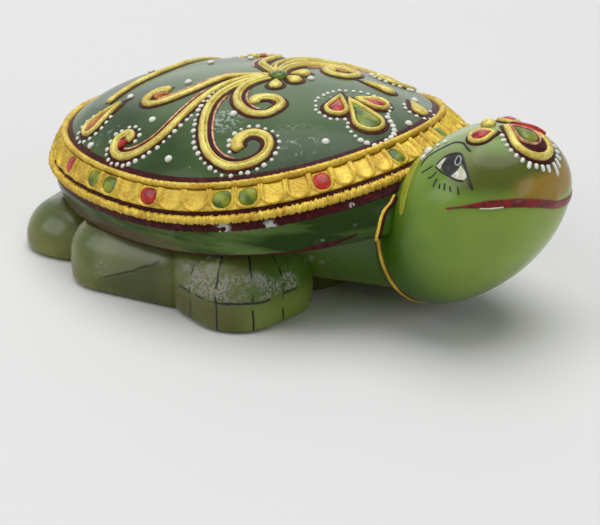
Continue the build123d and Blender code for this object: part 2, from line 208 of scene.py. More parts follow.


# Underbody: belly, neck, tail, feet and side bridges in one olive stone, ground flat beneath.
# The front toes are brushed on in black, a waxy white bloom that is partly a painted highlight lies on the
# tops of the feet, and a healed crack runs up each side bridge, with a painted reflection above it and darker
# below.
FOOT_CENTRE = (0.0062, 0.0225)
TOES_ROUND = 12.0
TOE_PHASE = math.radians(5.0)
TOE_LINE = 0.0064
TOE_MIDDLE = 0.0085
CHIP_SPOT = (-0.0166, 0.0378, 0.0066, 0.0028)
SCAR_BACK = 0.018
SCAR_FOOT = 0.0034
SCAR_SLOPE = 0.27
SCAR_BEND = 14.5
BODY_RELIEF = 0.00018
BODY_DEEP = (0.096, 0.128, 0.026)
BODY_PALE = (0.245, 0.272, 0.066)
BODY_FRONT = (0.045, 0.058, 0.010)
BODY_GLOW = (0.150, 0.145, 0.020)
FLANK_REFLECTION = (0.230, 0.250, 0.130)
NECK_GREEN = (0.060, 0.135, 0.008)
NECK_LIT = (0.230, 0.300, 0.050)
BODY_BLOOM_AND_HIGHLIGHT = (0.32, 0.31, 0.27)
BODY_INK = (0.010, 0.010, 0.006)
body_stone = Finish("olive_jade_stone", {
    "Specular IOR Level": 0.3, "Coat Weight": 0.16, "Coat Roughness": 0.1,
    "Subsurface Weight": 0.4, "Subsurface Radius": (0.9, 1.0, 0.4), "Subsurface Scale": 0.004})
body_at = body_stone.place
body_x, body_y, body_z = body_at.axis("X"), abs(body_at.axis("Y")), body_at.axis("Z")
foot_x, foot_y = body_x - FOOT_CENTRE[0], body_y - FOOT_CENTRE[1]
foot_turn = foot_x.math("ARCTAN2", foot_y) + 0.08 * (body_at.noise(260) - 0.5)
foot_face = foot_turn.between(-0.5, -0.4) * foot_turn.between(1.75, 1.6) * abs(foot_x).between(0.016, 0.0145)
toe_share = (foot_turn - TOE_PHASE) * (TOES_ROUND / math.tau)
toe_strokes = abs(toe_share.math("FRACT") - 0.5).between(0.036, 0.018)
toe_strokes = toe_strokes * (body_at.noise(330) + 30.0 * abs(body_z - TOE_MIDDLE)).between(0.52, 0.6)
toe_arc = abs(body_z - TOE_LINE - 0.0022 * (body_at.noise(120) - 0.5)).between(0.0003, 0.00014)
toe_arc = toe_arc * body_at.patches(210, 0.38, 0.46)
toes = foot_face * toe_arc.most(toe_strokes)
along = body_x + SCAR_BACK
scar = body_z - SCAR_FOOT - along * (SCAR_SLOPE + SCAR_BEND * along) + 0.0014 * (body_at.noise(260) - 0.5)
flank = body_x.between(-0.0196, -0.0176) * body_x.between(-0.003, -0.006) * body_y.between(0.028, 0.031)
scar_line = flank * abs(scar).between(0.00034, 0.00012) * body_at.patches(300, 0.40, 0.50)
marble = body_at.patches(70, 0.3, 0.7, 5)
bloom_and_highlight = foot_face * body_z.between(TOE_LINE, TOE_LINE + 0.0008) * body_z.between(0.0125, 0.0105)
bloom_and_highlight = bloom_and_highlight * body_at.patches(1900, 0.46, 0.56) * body_at.patches(150, 0.38, 0.52, 2)
worn = body_at.patches(420, 0.52, 0.64, 5) * body_at.patches(80, 0.54, 0.62)
worn = worn * body_z.between(0.0075, 0.0115)
chip = near_spot(body_at, CHIP_SPOT) * body_at.patches(700, 0.55, 0.62)
bloom_and_highlight = bloom_and_highlight.most(worn.most(chip))
glow = body_z.between(0.0085, 0.003) * body_at.patches(45, 0.3, 0.6)
body_stone.link("Base Color", layered(
    marble.tint(BODY_DEEP, BODY_PALE),
    # painted glow on the low parts of the body
    (glow, BODY_GLOW),
    (0.45 * body_x.between(-0.014, 0.002), BODY_FRONT),
    # the neck's green, with painted light toward its underside
    (0.85 * body_x.between(0.0130, 0.0180), body_z.between(0.0085, 0.0035).tint(NECK_GREEN, NECK_LIT)),
    # painted reflection above the crack, darker below it
    (0.5 * flank * scar.between(-0.0002, 0.0008), FLANK_REFLECTION),
    (0.45 * flank * scar.between(0.0002, -0.0008), BODY_FRONT),
    (0.75 * scar_line, BODY_INK),
    # whitish bloom, wear and a chip, partly a painted highlight on the tops of the feet
    (bloom_and_highlight, BODY_BLOOM_AND_HIGHLIGHT),
    (toes, BODY_INK)))
body_stone.link("Roughness", 0.2 + 0.45 * bloom_and_highlight + 0.12 * body_at.noise(200))
body_relief = body_at.noise(110) + 0.3 * body_at.noise(800) - 0.8 * toes - 0.8 * scar_line
body_stone.bump(body_relief, BODY_RELIEF)
dress("underbody", body_stone)


# Head: a paler, yellow-green stone, egg-shaped with a blunt snout, bonded to the neck and the shell.
# Its colour holds a painted glow at the chin, painted shade by the neck and along its underside, and a
# painted sheen on the forehead; it is olive above the mouth and brown at the snout's tip.
HEAD_BACK = 0.03105
HEAD_LENGTH = 0.0284
HEAD_TOP = 0.0392
HEAD_HALF_WIDTH = 0.0168
SNOUT_ROUND = 0.00025
SNOUT_SHARE = 0.7375
STATION_SHARES = np.array((0.0, 0.106, 0.246, 0.405, 0.563, 0.722, 0.845, 0.94, 0.986, 1.0))
LOW_SHARES = np.array((0.078, 0.064, 0.064, 0.1, 0.173, 0.274, 0.38, 0.505, 0.625, 0.7))
HIGH_SHARES = np.array((0.753, 0.83, 0.92, 0.976, 1.0, 0.99, 0.954, 0.898, 0.835, 0.775))
WIDTH_SHARES = np.array((0.815, 0.893, 0.976, 1.0, 0.964, 0.857, 0.702, 0.512, 0.29, 0.09))
FINE_ROWS = 900
HEAD_ROWS = 130
HEAD_COLUMNS = 240
NECK_TILT = math.radians(16.0)
NECK_HEIGHT = 0.0205
SKIRT_DROP = 0.0048
SKIRT_RISE = 0.0056
JOINT_LAP = 0.0002
NECK_LEAN = 0.29
SNOUT_START = 0.0565
SNOUT_FALL = 0.8
HEAD_RELIEF = 0.00012
HEAD_GREEN = (0.165, 0.295, 0.036)
HEAD_LIGHT = (0.275, 0.400, 0.052)
HEAD_SHADE = (0.040, 0.108, 0.005)
HEAD_CHIN_GLOW = (0.350, 0.420, 0.085)
HEAD_OLIVE = (0.082, 0.094, 0.003)
HEAD_BROWN = (0.370, 0.220, 0.018)
BROW_SHEEN = (0.340, 0.380, 0.190)


def lengths(path):
    """The length along a line up to each of its points."""
    return np.concatenate([[0.0], np.cumsum(np.linalg.norm(np.diff(path, axis=0), axis=1))])


def circle(count):
    """Even turns of a full circle."""
    return np.linspace(0, math.tau, count, endpoint=False)


def flowing(points, count):
    """A smooth line through points: a natural cubic on the length along them, sampled evenly."""
    points = np.asarray(points, float)
    knots = lengths(points)
    step = np.diff(knots)
    last = len(points) - 1
    before, after = step[:-1], step[1:]
    system = np.diag(np.r_[1.0, 2 * (before + after), 1.0])
    system += np.diag(np.r_[before, 0.0], -1) + np.diag(np.r_[0.0, after], 1)
    turns = np.zeros_like(points)
    turns[1:-1] = 6 * np.diff(np.diff(points, axis=0) / step[:, None], axis=0)
    bend = np.linalg.solve(system, turns)
    at = np.linspace(0, knots[-1], count)
    cell = np.clip(np.searchsorted(knots, at) - 1, 0, last - 1)
    width = step[cell][:, None]
    near = (at - knots[cell])[:, None]
    far = width - near
    cubic = (bend[cell] * far ** 3 + bend[cell + 1] * near ** 3) / (6 * width)
    low = (points[cell] / width - bend[cell] * width / 6) * far
    return cubic + low + (points[cell + 1] / width - bend[cell + 1] * width / 6) * near


def piece(name, points, finish, *nodes, loop=False):
    """A closed mesh over grids of points, shaped (patches, rows, columns, 3).

    Columns wrap round, rows wrap where loop is set, and rows that meet in a point become poles."""
    points = np.asarray(points, float)
    index = np.arange(points[..., 0].size).reshape(points.shape[:3])
    after = np.roll(index, -1, axis=2)
    corners = [index, after, np.roll(after, -1, axis=1), np.roll(index, -1, axis=1)]
    faces = np.stack(corners, -1)[:, :None if loop else -1].reshape(-1, 4)
    mesh = bpy.data.meshes.new(name)
    mesh.from_pydata(points.reshape(-1, 3).tolist(), [], faces.tolist())
    shape = bmesh.new()
    shape.from_mesh(mesh)
    bmesh.ops.remove_doubles(shape, verts=shape.verts, dist=1e-7)
    bmesh.ops.recalc_face_normals(shape, faces=shape.faces)
    shape.to_mesh(mesh)
    shape.free()
    mesh.polygons.foreach_set("use_smooth", np.ones(len(mesh.polygons), bool))
    mesh.materials.append(finish.material)
    made = bpy.data.objects.new(name, mesh)
    bpy.context.scene.collection.objects.link(made)
    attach(made, "root")
    if nodes:
        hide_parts(*nodes)


def in_shell(points):
    """True for points inside the shell stone: within its ellipsoid and over its skirt's swept line."""
    x, y, z = np.moveaxis(points - SHELL_CENTRE, -1, 0)
    local_x = x * math.cos(SHELL_PITCH) + z * math.sin(SHELL_PITCH)
    local_z = z * math.cos(SHELL_PITCH) - x * math.sin(SHELL_PITCH)
    shares = np.stack([local_x, y, local_z], -1) / (SHELL_HALF - JOINT_LAP)
    line = SKIRT_RISE * np.clip(local_x / SHELL_HALF[0], 0, None) ** 2 - SKIRT_DROP
    return ((shares ** 2).sum(-1) < 1) & (local_z > line)


def head_lines(count):
    """Rows of x, underside, top and half width, from the nape to the snout's tip."""
    rows = np.stack((
        HEAD_BACK + STATION_SHARES * HEAD_LENGTH, LOW_SHARES * HEAD_TOP, HIGH_SHARES * HEAD_TOP,
        WIDTH_SHARES * HEAD_HALF_WIDTH), -1)
    tip = (HEAD_BACK + HEAD_LENGTH + SNOUT_ROUND, SNOUT_SHARE * HEAD_TOP, SNOUT_SHARE * HEAD_TOP, 0.0)
    return flowing(np.vstack([rows, tip]), count)


def head_trim():
    """Ovals of the head, y = w(x) cos v, z = mid(x) + half(x) sin v, and the row of each column's joint."""
    turn = circle(HEAD_COLUMNS)
    x, low, high, width = (line[:, None] for line in head_lines(FINE_ROWS).T)
    ovals = np.stack(np.broadcast_arrays(
        x, width * np.cos(turn), (low + high) / 2 + (high - low) / 2 * np.sin(turn)), -1)
    joint = HEAD_BACK + (NECK_HEIGHT - ovals[..., 2]) * math.tan(NECK_TILT)
    hidden = in_shell(ovals) | (ovals[..., 0] < joint)
    start = FINE_ROWS - np.argmax(hidden[::-1], axis=0)
    return ovals, np.where(hidden.any(0), start, 0)


fine_ovals, head_start = head_trim()
head_column = np.arange(HEAD_COLUMNS)
head_steps = np.linspace(head_start.min(), FINE_ROWS - 1, HEAD_ROWS).astype(int)[:, None]
head_ovals = fine_ovals[np.maximum(head_steps, head_start), head_column]
head_back = np.broadcast_to(head_ovals[0].mean(0), (1, HEAD_COLUMNS, 3))
head_stone = Finish("pale_jade_stone", {
    "Specular IOR Level": 0.22, "Coat Weight": 0.08, "Coat Roughness": 0.05,
    "Subsurface Weight": 0.5, "Subsurface Radius": (0.8, 1.0, 0.3), "Subsurface Scale": 0.005}, "pale_jade")
head_at = head_stone.place
head_x, head_z = head_at.axis("X"), head_at.axis("Z")
mottle = head_at.patches(60, 0.3, 0.7, 4)
shade_by_neck = (head_x + NECK_LEAN * head_z).between(0.0515, 0.0410) * head_z.between(0.036, 0.021)
lip_z = head_z + SNOUT_FALL * (head_x - SNOUT_START).most(0.0)
over_mouth = lip_z.between(0.0300, 0.0334) * head_z.between(0.0385, 0.0362) * head_x.between(0.044, 0.049)
stain = lip_z.between(0.0303, 0.0313) * head_z.between(0.0350, 0.0330) * head_x.between(0.0550, 0.0588)
chin_glow = head_x.between(0.0400, 0.0560) * head_z.between(0.030, 0.027)
forehead_sheen = head_z.between(0.0318, 0.0372) * head_x.between(0.0510, 0.0465)
head_stone.link("Base Color", layered(
    mottle.tint(HEAD_GREEN, HEAD_LIGHT),
    # painted shade by the neck and toward the head's underside
    (0.95 * shade_by_neck, HEAD_SHADE),
    (0.6 * head_z.between(0.024, 0.008), HEAD_SHADE),
    # painted glow of light through the chin
    (0.4 * chin_glow, HEAD_CHIN_GLOW),
    (0.9 * over_mouth, HEAD_OLIVE),
    (0.9 * stain, HEAD_BROWN),
    # painted sheen on the forehead
    (0.5 * forehead_sheen, BROW_SHEEN)))
head_stone.link("Roughness", 0.13 + 0.14 * head_at.noise(140))
head_stone.bump(head_at.noise(120) + 0.2 * head_at.noise(900), HEAD_RELIEF)
piece("head_stone", np.concatenate([head_back, head_ovals])[None], head_stone, "head")


# Neck line: a gilt bead squeezed along the joint between head and neck, on under the skirt's edge and up over
# the skirt to the rim, where it thins. It is shaded in dark red paint, the same that lines the rim and is
# chipped there in places. An olive gold smear fills the head's edge by the rim.
NECK_BEAD_SIZE = (0.00044, 0.00050)
SKIRT_BEAD_HALF = 0.00024
UNDER_SAG = 0.0006
NECK_ROWS = 150
NECK_SHADE = np.array((0.00055, 0.0, 0.0))
SHADE_SIZE = (0.00025, 0.0002)
SEAM_HEIGHT = 0.0193
SKIRT_LINE = ((-21.4, 6.0), (-24.4, 4.5), (-27.7, 2.0), (-29.1, -0.8))
SMEAR_AHEAD = 52
SMEAR_FOOT = 0.0238
SMEAR_TOP = 0.0325
SMEAR_HALF = 0.0018
SMEAR_HEIGHT = 0.00012
SMEAR_ROWS = 60
SINK = 0.00015
LINE_SIDES = 14
GILT_RELIEF = 0.00018
PAINT_RELIEF = 0.0001
GOLD_PALE = (0.80, 0.590, 0.070)
GOLD_DEEP = (0.50, 0.290, 0.016)
OLIVE_GOLD = (0.360, 0.330, 0.012)
MAROON = (0.038, 0.002, 0.005)
MAROON_WORN = (0.090, 0.010, 0.011)
LINE_BARE = (0.52, 0.54, 0.50)
LINE_CHIPS = (
    (0.0113, 0.0332, 0.0207, 0.0020), (0.0192, 0.0295, 0.0221, 0.0017), (0.0298, 0.0195, 0.0258, 0.0007))


def unit(vectors):
    """Vectors divided by their lengths."""
    return vectors / np.linalg.norm(vectors, axis=-1, keepdims=True)


def ridge(path, normal, half, height, loop=False):
    """A raised line on a surface: P + A half cos v + N height sin v, sunk a little beneath.

    A lies across the path on the surface. Open lines end in half rounds."""
    along = np.roll(path, -1, 0) - np.roll(path, 1, 0) if loop else np.gradient(path, axis=0)
    across = unit(np.cross(normal, along))
    half = half * np.ones(len(path))
    ends = np.ones(len(path))
    if not loop:
        reach = lengths(path)
        near = np.minimum(reach, reach[-1] - reach)
        ends = np.sqrt(1 - (1 - np.minimum(near / half, 1)) ** 2)
    turn = circle(LINE_SIDES)
    side = (half * ends)[:, None] * np.cos(turn)
    lift = np.where(np.sin(turn) > 0, height, SINK)
    up = lift * ends[:, None] * np.sign(np.sin(turn)) * np.abs(np.sin(turn)) ** 0.8
    return path[:, None] + across[:, None] * side[..., None] + normal[:, None] * up[..., None]


def normals(lay, plan):
    """The outward normals of a surface that lay(plan, rise) gives."""
    step = 0.0001
    return (lay(plan, step) - lay(plan, 0.0)) / step


def line(lay, plan, half, height, loop=False):
    """A raised line over places of a surface's plan."""
    return ridge(lay(plan, 0.0), normals(lay, plan), half, height, loop)


def stand_off(local, rise):
    """Points of the shell's own frame moved out by a rise along (x/a^2, y/b^2, z/c^2), then pitched."""
    x, y, z = np.moveaxis(local + unit(local / SHELL_HALF ** 2) * np.asarray(rise)[..., None], -1, 0)
    along = x * math.cos(SHELL_PITCH) - z * math.sin(SHELL_PITCH)
    up = x * math.sin(SHELL_PITCH) + z * math.cos(SHELL_PITCH)
    return SHELL_CENTRE + np.stack([along, y, up], -1)


def off_rim(turn, height, rise, sweep):
    """Points a rise off the shell on swept lines: z = height + sweep max(x/a, 0)^2, at a turn of the plan."""
    turn, height, rise = np.broadcast_arrays(turn, height, rise)
    level = height
    for settle in range(9):
        share = np.sqrt(1 - (level / SHELL_HALF[2]) ** 2)
        level = height + sweep * np.maximum(share * np.cos(turn), 0) ** 2
    x, y = SHELL_HALF[0] * share * np.cos(turn), SHELL_HALF[1] * share * np.sin(turn)
    return stand_off(np.stack([x, y, level], -1), rise)


def on_skirt(plan, rise):
    """Points a rise over places (turn, height) of the skirt."""
    return off_rim(*plan.T, rise, 0.0)


def gilt(name, pale, deep):
    """Gold paint over rough gesso: worn to a deeper tone in clouds and grains."""
    made = Finish(name, {"Metallic": 0.3}, "gilding")
    grain = made.place.noise(1900)
    wear = made.place.patches(260, 0.36, 0.62, 4)
    made.link("Base Color", (0.6 * wear + 0.4 * grain.between(0.36, 0.6)).tint(deep, pale))
    made.link("Roughness", 0.26 + 0.3 * grain)
    made.bump(grain + 0.5 * made.place.noise(600), GILT_RELIEF)
    return made


def mixed(name, values, tones, cloud, grain, slot=None):
    """A paint or enamel of two tones in patches (scale, low, high, detail), with a grain (scale, depth)."""
    made = Finish(name, values, slot)
    made.link("Base Color", made.place.patches(*cloud).tint(*tones))
    made.bump(made.place.noise(grain[0]), grain[1])
    return made


gilding = gilt("rim_gilding", GOLD_PALE, GOLD_DEEP)
maroon_paint = Finish("maroon_paint", {"Roughness": 0.45, "Specular IOR Level": 0.12})
maroon_at = maroon_paint.place
line_chips = (near_spot(maroon_at, spot) * maroon_at.patches(900, 0.42, 0.5) for spot in LINE_CHIPS)
line_colour = maroon_at.patches(700, 0.45, 0.7).tint(MAROON, MAROON_WORN)
maroon_paint.link("Base Color", layered(line_colour, *((chip, LINE_BARE) for chip in line_chips)))
maroon_paint.bump(maroon_at.noise(1300), PAINT_RELIEF)
olive_gold = mixed(
    "olive_gold_paint", {"Roughness": 0.3}, (OLIVE_GOLD, HEAD_LIGHT), (500, 0.35, 0.65), (900, PAINT_RELIEF))
head_rows = head_lines(2000)


def head_sizes(x):
    """The head's underside, top and half width at places along it."""
    return (np.interp(x, head_rows[:, 0], column) for column in head_rows[:, 1:].T)


def oval(point):
    """The head's form as a number: (y/w)^2 + ((z - mid)/half)^2, below 1 inside."""
    x, y, z = np.moveaxis(point, -1, 0)
    low, high, width = head_sizes(x)
    width = np.maximum(width, 1e-6)
    half = np.maximum((high - low) / 2, 1e-6)
    return np.where(x > head_rows[-1, 0], 1e6, (y / width) ** 2 + ((z - (low + high) / 2) / half) ** 2)


def off_head(point, rise):
    """Points of the head's surface moved out by a rise along the slope of its oval."""
    small = 0.00003
    slope = np.stack([oval(point + step) - oval(point - step) for step in small * np.eye(3)], -1)
    return point + unit(slope) * np.asarray(rise)[..., None]


def head_line(row, kept, count):
    """A smooth line through the kept points of a row on the head, and its normals."""
    normal = off_head(row, 1.0) - row
    return flowing(row[kept][::2], count), unit(flowing(normal[kept][::2], count))


head_edge = np.roll(fine_ovals[head_start, head_column], -HEAD_COLUMNS // 4, axis=0)
joint_path, joint_normal = head_line(head_edge, head_edge[:, 2] < SEAM_HEIGHT, NECK_ROWS)
neck_beads = [ridge(joint_path, joint_normal, *NECK_BEAD_SIZE)]
neck_shades = [ridge(joint_path + shift, joint_normal, *SHADE_SIZE) for shift in (NECK_SHADE, -NECK_SHADE)]
smear_row = fine_ovals[head_start + SMEAR_AHEAD, head_column]
smears = []
for sign in (1, -1):
    skirt_plan = flowing(np.array(SKIRT_LINE) * (sign * math.radians(1), 0.001), NECK_ROWS)
    skirt_path, skirt_normal = on_skirt(skirt_plan, 0.0), normals(on_skirt, skirt_plan)
    thinned = np.linspace(SKIRT_BEAD_HALF, NECK_BEAD_SIZE[0], NECK_ROWS)
    neck_beads.append(ridge(skirt_path, skirt_normal, thinned, thinned[:, None]))
    joint_end = joint_path[0 if joint_path[0, 1] * sign < 0 else -1]
    under_skirt = np.linspace(skirt_path[-1], joint_end, NECK_ROWS)
    under_skirt[:, 2] -= UNDER_SAG * np.sin(np.linspace(0, math.pi, NECK_ROWS))
    down = np.tile((0.0, 0.0, -1.0), (NECK_ROWS, 1))
    neck_beads.append(ridge(under_skirt, down, *NECK_BEAD_SIZE))
    neck_shades.append(ridge(skirt_path + NECK_SHADE, skirt_normal, *SHADE_SIZE))
    smeared = (smear_row[:, 2] > SMEAR_FOOT) & (smear_row[:, 2] < SMEAR_TOP) & (smear_row[:, 1] * sign > 0)
    smear_path, smear_normal = head_line(smear_row, smeared, SMEAR_ROWS)
    fade = np.clip((smear_path[:, 2] - SMEAR_FOOT) / (SMEAR_TOP - SMEAR_FOOT), 0.02, 1)
    smears.append(ridge(smear_path, smear_normal, SMEAR_HALF * fade ** 0.6, SMEAR_HEIGHT))
piece("neck_line_gilt", neck_beads, gilding, "neck_ring")
piece("neck_line_maroon", neck_shades, maroon_paint)
piece("neck_smears_olive", smears, olive_gold)


# Rim: raised gilding round the shell, a smooth bead over a band of cups over a rough rope, squeezed on as
# gesso and gilded. It is lined in dark red above, between and below, and along the skirt's seam, where the
# line has a blot and kicks up at its front. Some cups are filled with red or green enamel.
RIM_TOP = 0.0079
BEAD_WIDTH = 0.0009
BEAD_HEIGHT = 0.0012
BAND_TOP = RIM_TOP - BEAD_WIDTH
BAND_WIDTH = 0.0036
BAND_HEIGHT = 0.00055
STRIPE_TOP = BAND_TOP - BAND_WIDTH
STRIPE_WIDTH = 0.0006
ROPE_TOP = STRIPE_TOP - STRIPE_WIDTH
ROPE_WIDTH = 0.0015
ROPE_HEIGHT = 0.0011
CUP_COUNT = 54
CUP_COLUMNS = 22
CUP_ROWS = 24
CUP_TOP_SHARE = 0.93
WALL_HEIGHT = 0.00055
WALL_SHARE = 0.88
WALL_SPREAD = 0.075
DISH_SHARE = 0.8
DISH_DEPTH = 0.00035
FILL_BASE = 0.0003
FILL_HUMP = 0.00045
FILL_LEVEL = 0.48
FILL_UP = 0.38
FILL_ACROSS = 0.37
RED_CUPS = (6, 13, 18, 24)
GREEN_CUPS = (2, 9, 10, 15, 16, 21, 22)
LINE_HEIGHT = 0.00012
RIM_LINES = (
    (RIM_TOP + 0.0009, 0.0011, LINE_HEIGHT), (STRIPE_TOP + 0.0001, STRIPE_WIDTH + 0.0002, 0.0003),
    (ROPE_TOP - ROPE_WIDTH + 0.0003, 0.0018, LINE_HEIGHT))
SEAM_THIN = 0.00018
SEAM_THICK = 0.00055
SEAM_START = math.radians(33.9)
SEAM_BLOT = math.radians(43.0)
SEAM_BLOT_HALF = math.radians(4.0)
SEAM_KICK = 0.0014
SEAM_ROWS = 900
ENAMEL_GLOSS = {"Roughness": 0.22, "Specular IOR Level": 0.3, "Coat Weight": 0.12}
ENAMEL_GRAIN = (700, 0.00015)
RED_BRIGHT = (0.58, 0.022, 0.016)
RED_DEEP = (0.240, 0.008, 0.008)
GREEN_BRIGHT = (0.290, 0.340, 0.012)
GREEN_DEEP = (0.045, 0.115, 0.008)


def rim_bead(top, width, height, rounds, wobble):
    """A bead round the rim: height = middle + half cos v, rise = height sin v, waving by a wobble."""
    turn = circle(rounds)[:, None]
    profile = circle(LINE_SIDES)
    waves = np.sin(211 * turn + 3 * np.sin(7 * turn))
    waves = waves + np.sin(337 * turn + 4 * np.sin(11 * turn) + 2 * profile)
    waves = waves + np.sin(149 * turn + 2 * np.sin(13 * turn) - profile) + np.sin(463 * turn + 3 * profile)
    lumps = 1 + wobble * waves
    level = top - width / 2 + width / 2 * np.cos(profile) * lumps
    over = height * lumps * np.abs(np.sin(profile)) ** 0.8
    rise = np.where(np.sin(profile) > 0, over, SINK * np.sin(profile))
    return off_rim(turn, level, rise, RIM_RISE)[None]


def cup_band():
    """The band of cups: U-shaped walls about hollows, d = |s| above and hypot(s, t) below each middle."""
    turn = circle(CUP_COUNT * CUP_COLUMNS)[:, None]
    across = np.abs(((turn * CUP_COUNT / math.tau + 0.5) % 1) - 0.5) * 2
    up = np.linspace(-1, 1, CUP_ROWS)[None]
    below = np.minimum(up + 0.05, 0) / CUP_TOP_SHARE
    reach = np.hypot(across, below)
    wall = np.exp(-((reach - WALL_SHARE) / WALL_SPREAD) ** 2) * (up < CUP_TOP_SHARE)
    dish = np.clip(1 - (reach / DISH_SHARE) ** 2, 0, 1)
    rise = BAND_HEIGHT + WALL_HEIGHT * wall - DISH_DEPTH * np.sqrt(dish)
    rise = np.where(np.abs(up) > 0.999, -SINK, rise)
    return off_rim(turn, BAND_TOP - BAND_WIDTH / 2 + BAND_WIDTH / 2 * up, rise, RIM_RISE)[None]


def cup_fill(number):
    """Enamel in one cup: (s, t) = q r(v) (cos v, sin v) with r a rounded U, humped as sqrt(1 - q^2)."""
    turn = circle(32)
    power = np.where(np.sin(turn) < 0, 2.1, 2.8)
    reach = (np.abs(np.cos(turn)) ** power + np.abs(np.sin(turn)) ** power) ** (-1 / power)
    bow = np.linspace(0, math.pi / 2, 7)
    share = np.append(np.sin(bow), 0.0)[:, None] * reach
    rise = np.append(FILL_BASE + FILL_HUMP * np.cos(bow), 0.0)[:, None]
    place = (number + FILL_ACROSS * share * np.cos(turn)) * math.tau / CUP_COUNT
    level = BAND_TOP - FILL_LEVEL * BAND_WIDTH + FILL_UP * BAND_WIDTH * share * np.sin(turn)
    return off_rim(place, level, rise, RIM_RISE)


def on_seam(plan, rise):
    """Points a rise over places (turn, height) of the seam, swept up to the front."""
    return off_rim(*plan.T, rise, SKIRT_RISE)


bead = rim_bead(RIM_TOP, BEAD_WIDTH, BEAD_HEIGHT, 1500, 0.035)
rope = rim_bead(ROPE_TOP, ROPE_WIDTH, ROPE_HEIGHT, 2600, 0.09)
piece("rim_bead_gilt", bead, gilding, "rim_bead", loop=True)
piece("rim_cups_gilt", cup_band(), gilding, "rim_cup_band", loop=True)
piece("rim_rope_gilt", rope, gilding, "rim_rope", loop=True)
rim_lines = np.concatenate([rim_bead(*sizes, 1200, 0.05) for sizes in RIM_LINES])
piece("rim_lines_maroon", rim_lines, maroon_paint, loop=True)
seam_turn = np.linspace(SEAM_START, math.tau - SEAM_START, SEAM_ROWS)
from_front = np.minimum(seam_turn, math.tau - seam_turn)
blot = np.exp(-((from_front - SEAM_BLOT) / SEAM_BLOT_HALF) ** 2)
seam_half = SEAM_THIN + (SEAM_THICK - SEAM_THIN) * blot
kicked = np.clip((SEAM_BLOT - from_front) / (SEAM_BLOT - SEAM_START), 0, 1) ** 1.3
seam_plan = np.stack([seam_turn, seam_half + SEAM_KICK * kicked - SKIRT_DROP], -1)
piece("seam_line_maroon", line(on_seam, seam_plan, seam_half, LINE_HEIGHT)[None], maroon_paint)
red_enamel = mixed(
    "red_enamel", ENAMEL_GLOSS, (RED_DEEP, RED_BRIGHT), (520, 0.3, 0.62, 4), ENAMEL_GRAIN, "red_enamel")
green_enamel = mixed(
    "green_enamel", ENAMEL_GLOSS, (GREEN_DEEP, GREEN_BRIGHT), (430, 0.34, 0.66, 4), ENAMEL_GRAIN,
    "green_enamel")
for colour, cups, finish in (("red", RED_CUPS, red_enamel), ("green", GREEN_CUPS, green_enamel)):
    fills = [cup_fill(sign * number) for number in cups for sign in (1, -1)]
    piece(f"rim_{colour}_drops", fills, finish, f"rim_{colour}_stones")


# Scrolls: four gilt strands to a side, squeezed onto the dome from its middle out and curled at the ends.
# Each has a thin second strand, and is underlined in dark red on both sides and in pink gold on its inner.
# The larger two are dotted white outside. Their points are thousandths of the shell's half sizes.
SCROLL_POINTS = {
    "long_scroll": (
        (85, -25), (25, -70), (-60, -140), (-108, -290), (-152, -412), (-203, -484), (-245, -506), (-288,
        -490), (-302, -454), (-298, -402), (-272, -365), (-234, -360)),
    "curl_scroll": (
        (70, -50), (12, -140), (-24, -295), (-25, -461), (-24, -616), (-35, -725), (-73, -800), (-130,
        -841), (-184, -846), (-232, -820), (-251, -782), (-245, -746), (-222, -727), (-197, -729), (-184,
        -750), (-193, -772)),
    "large_scroll": (
        (82, -55), (38, -180), (22, -307), (42, -449), (90, -566), (146, -658), (200, -718), (268, -751),
        (331, -750), (386, -716), (422, -663), (434, -600), (411, -542), (369, -522), (322, -540), (300,
        -589), (309, -637), (338, -655)),
    "small_scroll": (
        (100, -45), (72, -150), (80, -258), (118, -345), (184, -404), (250, -418), (297, -387), (312, -319),
        (300, -263), (257, -242), (215, -258), (192, -307), (212, -337)),
}
END_SWELL = {"long_scroll": 0.3, "curl_scroll": 0.1, "large_scroll": 0.75, "small_scroll": 0.75}
PINK_SHARES = {
    "long_scroll": (0.2, 0.72), "curl_scroll": (0.25, 0.8), "large_scroll": (0.2, 0.66),
    "small_scroll": (0.24, 0.58)}
DOTTED_SHARES = {"curl_scroll": (0.2, 0.99), "large_scroll": (0.16, 0.99)}
STRAND_ROWS = 190
STRAND_ROOT = 0.62
STRAND_GROWN = 0.45
STRAND_TIP = (0.965, 0.045)
STRAND_SHIFT = 0.0001
STRAND_HALF = 0.00072
STRAND_HEIGHT = 0.0008
SECOND_GAP = 0.00072
SECOND_HALF = 0.00024
SECOND_HEIGHT = 0.0005
INNER_GAP = 0.0012
INNER_HALF = 0.00062
OUTLINE_GAP = 0.0010
OUTLINE_HALF = 0.00042
PAINT_HEIGHT = 0.00014
PINK_GAP = 0.0019
PINK_HALF = 0.00022
PINK_HEIGHT = 0.0003
DOT_GAP = 0.00175
DOT_STEP = 0.00160
DOT_RADIUS = 0.00046
DOT_DRIFT = 0.00012
LEMON_PALE = (0.73, 0.655, 0.160)
LEMON_DEEP = (0.48, 0.330, 0.040)
PINK_PALE = (0.80, 0.46, 0.28)
PINK_DEEP = (0.42, 0.14, 0.08)
WHITE = (0.86, 0.87, 0.83)
WHITE_THIN = (0.74, 0.76, 0.70)


def dome(plan, rise):
    """Points a rise over places of the shell's plan in metres: z = c sqrt(1 - (x/a)^2 - (y/b)^2)."""
    plan = np.asarray(plan, float)
    inside = 1 - ((plan / SHELL_HALF[:2]) ** 2).sum(-1)
    height = SHELL_HALF[2] * np.sqrt(np.maximum(inside, 0))
    return stand_off(np.concatenate([plan, height[..., None]], -1), np.broadcast_to(rise, inside.shape))


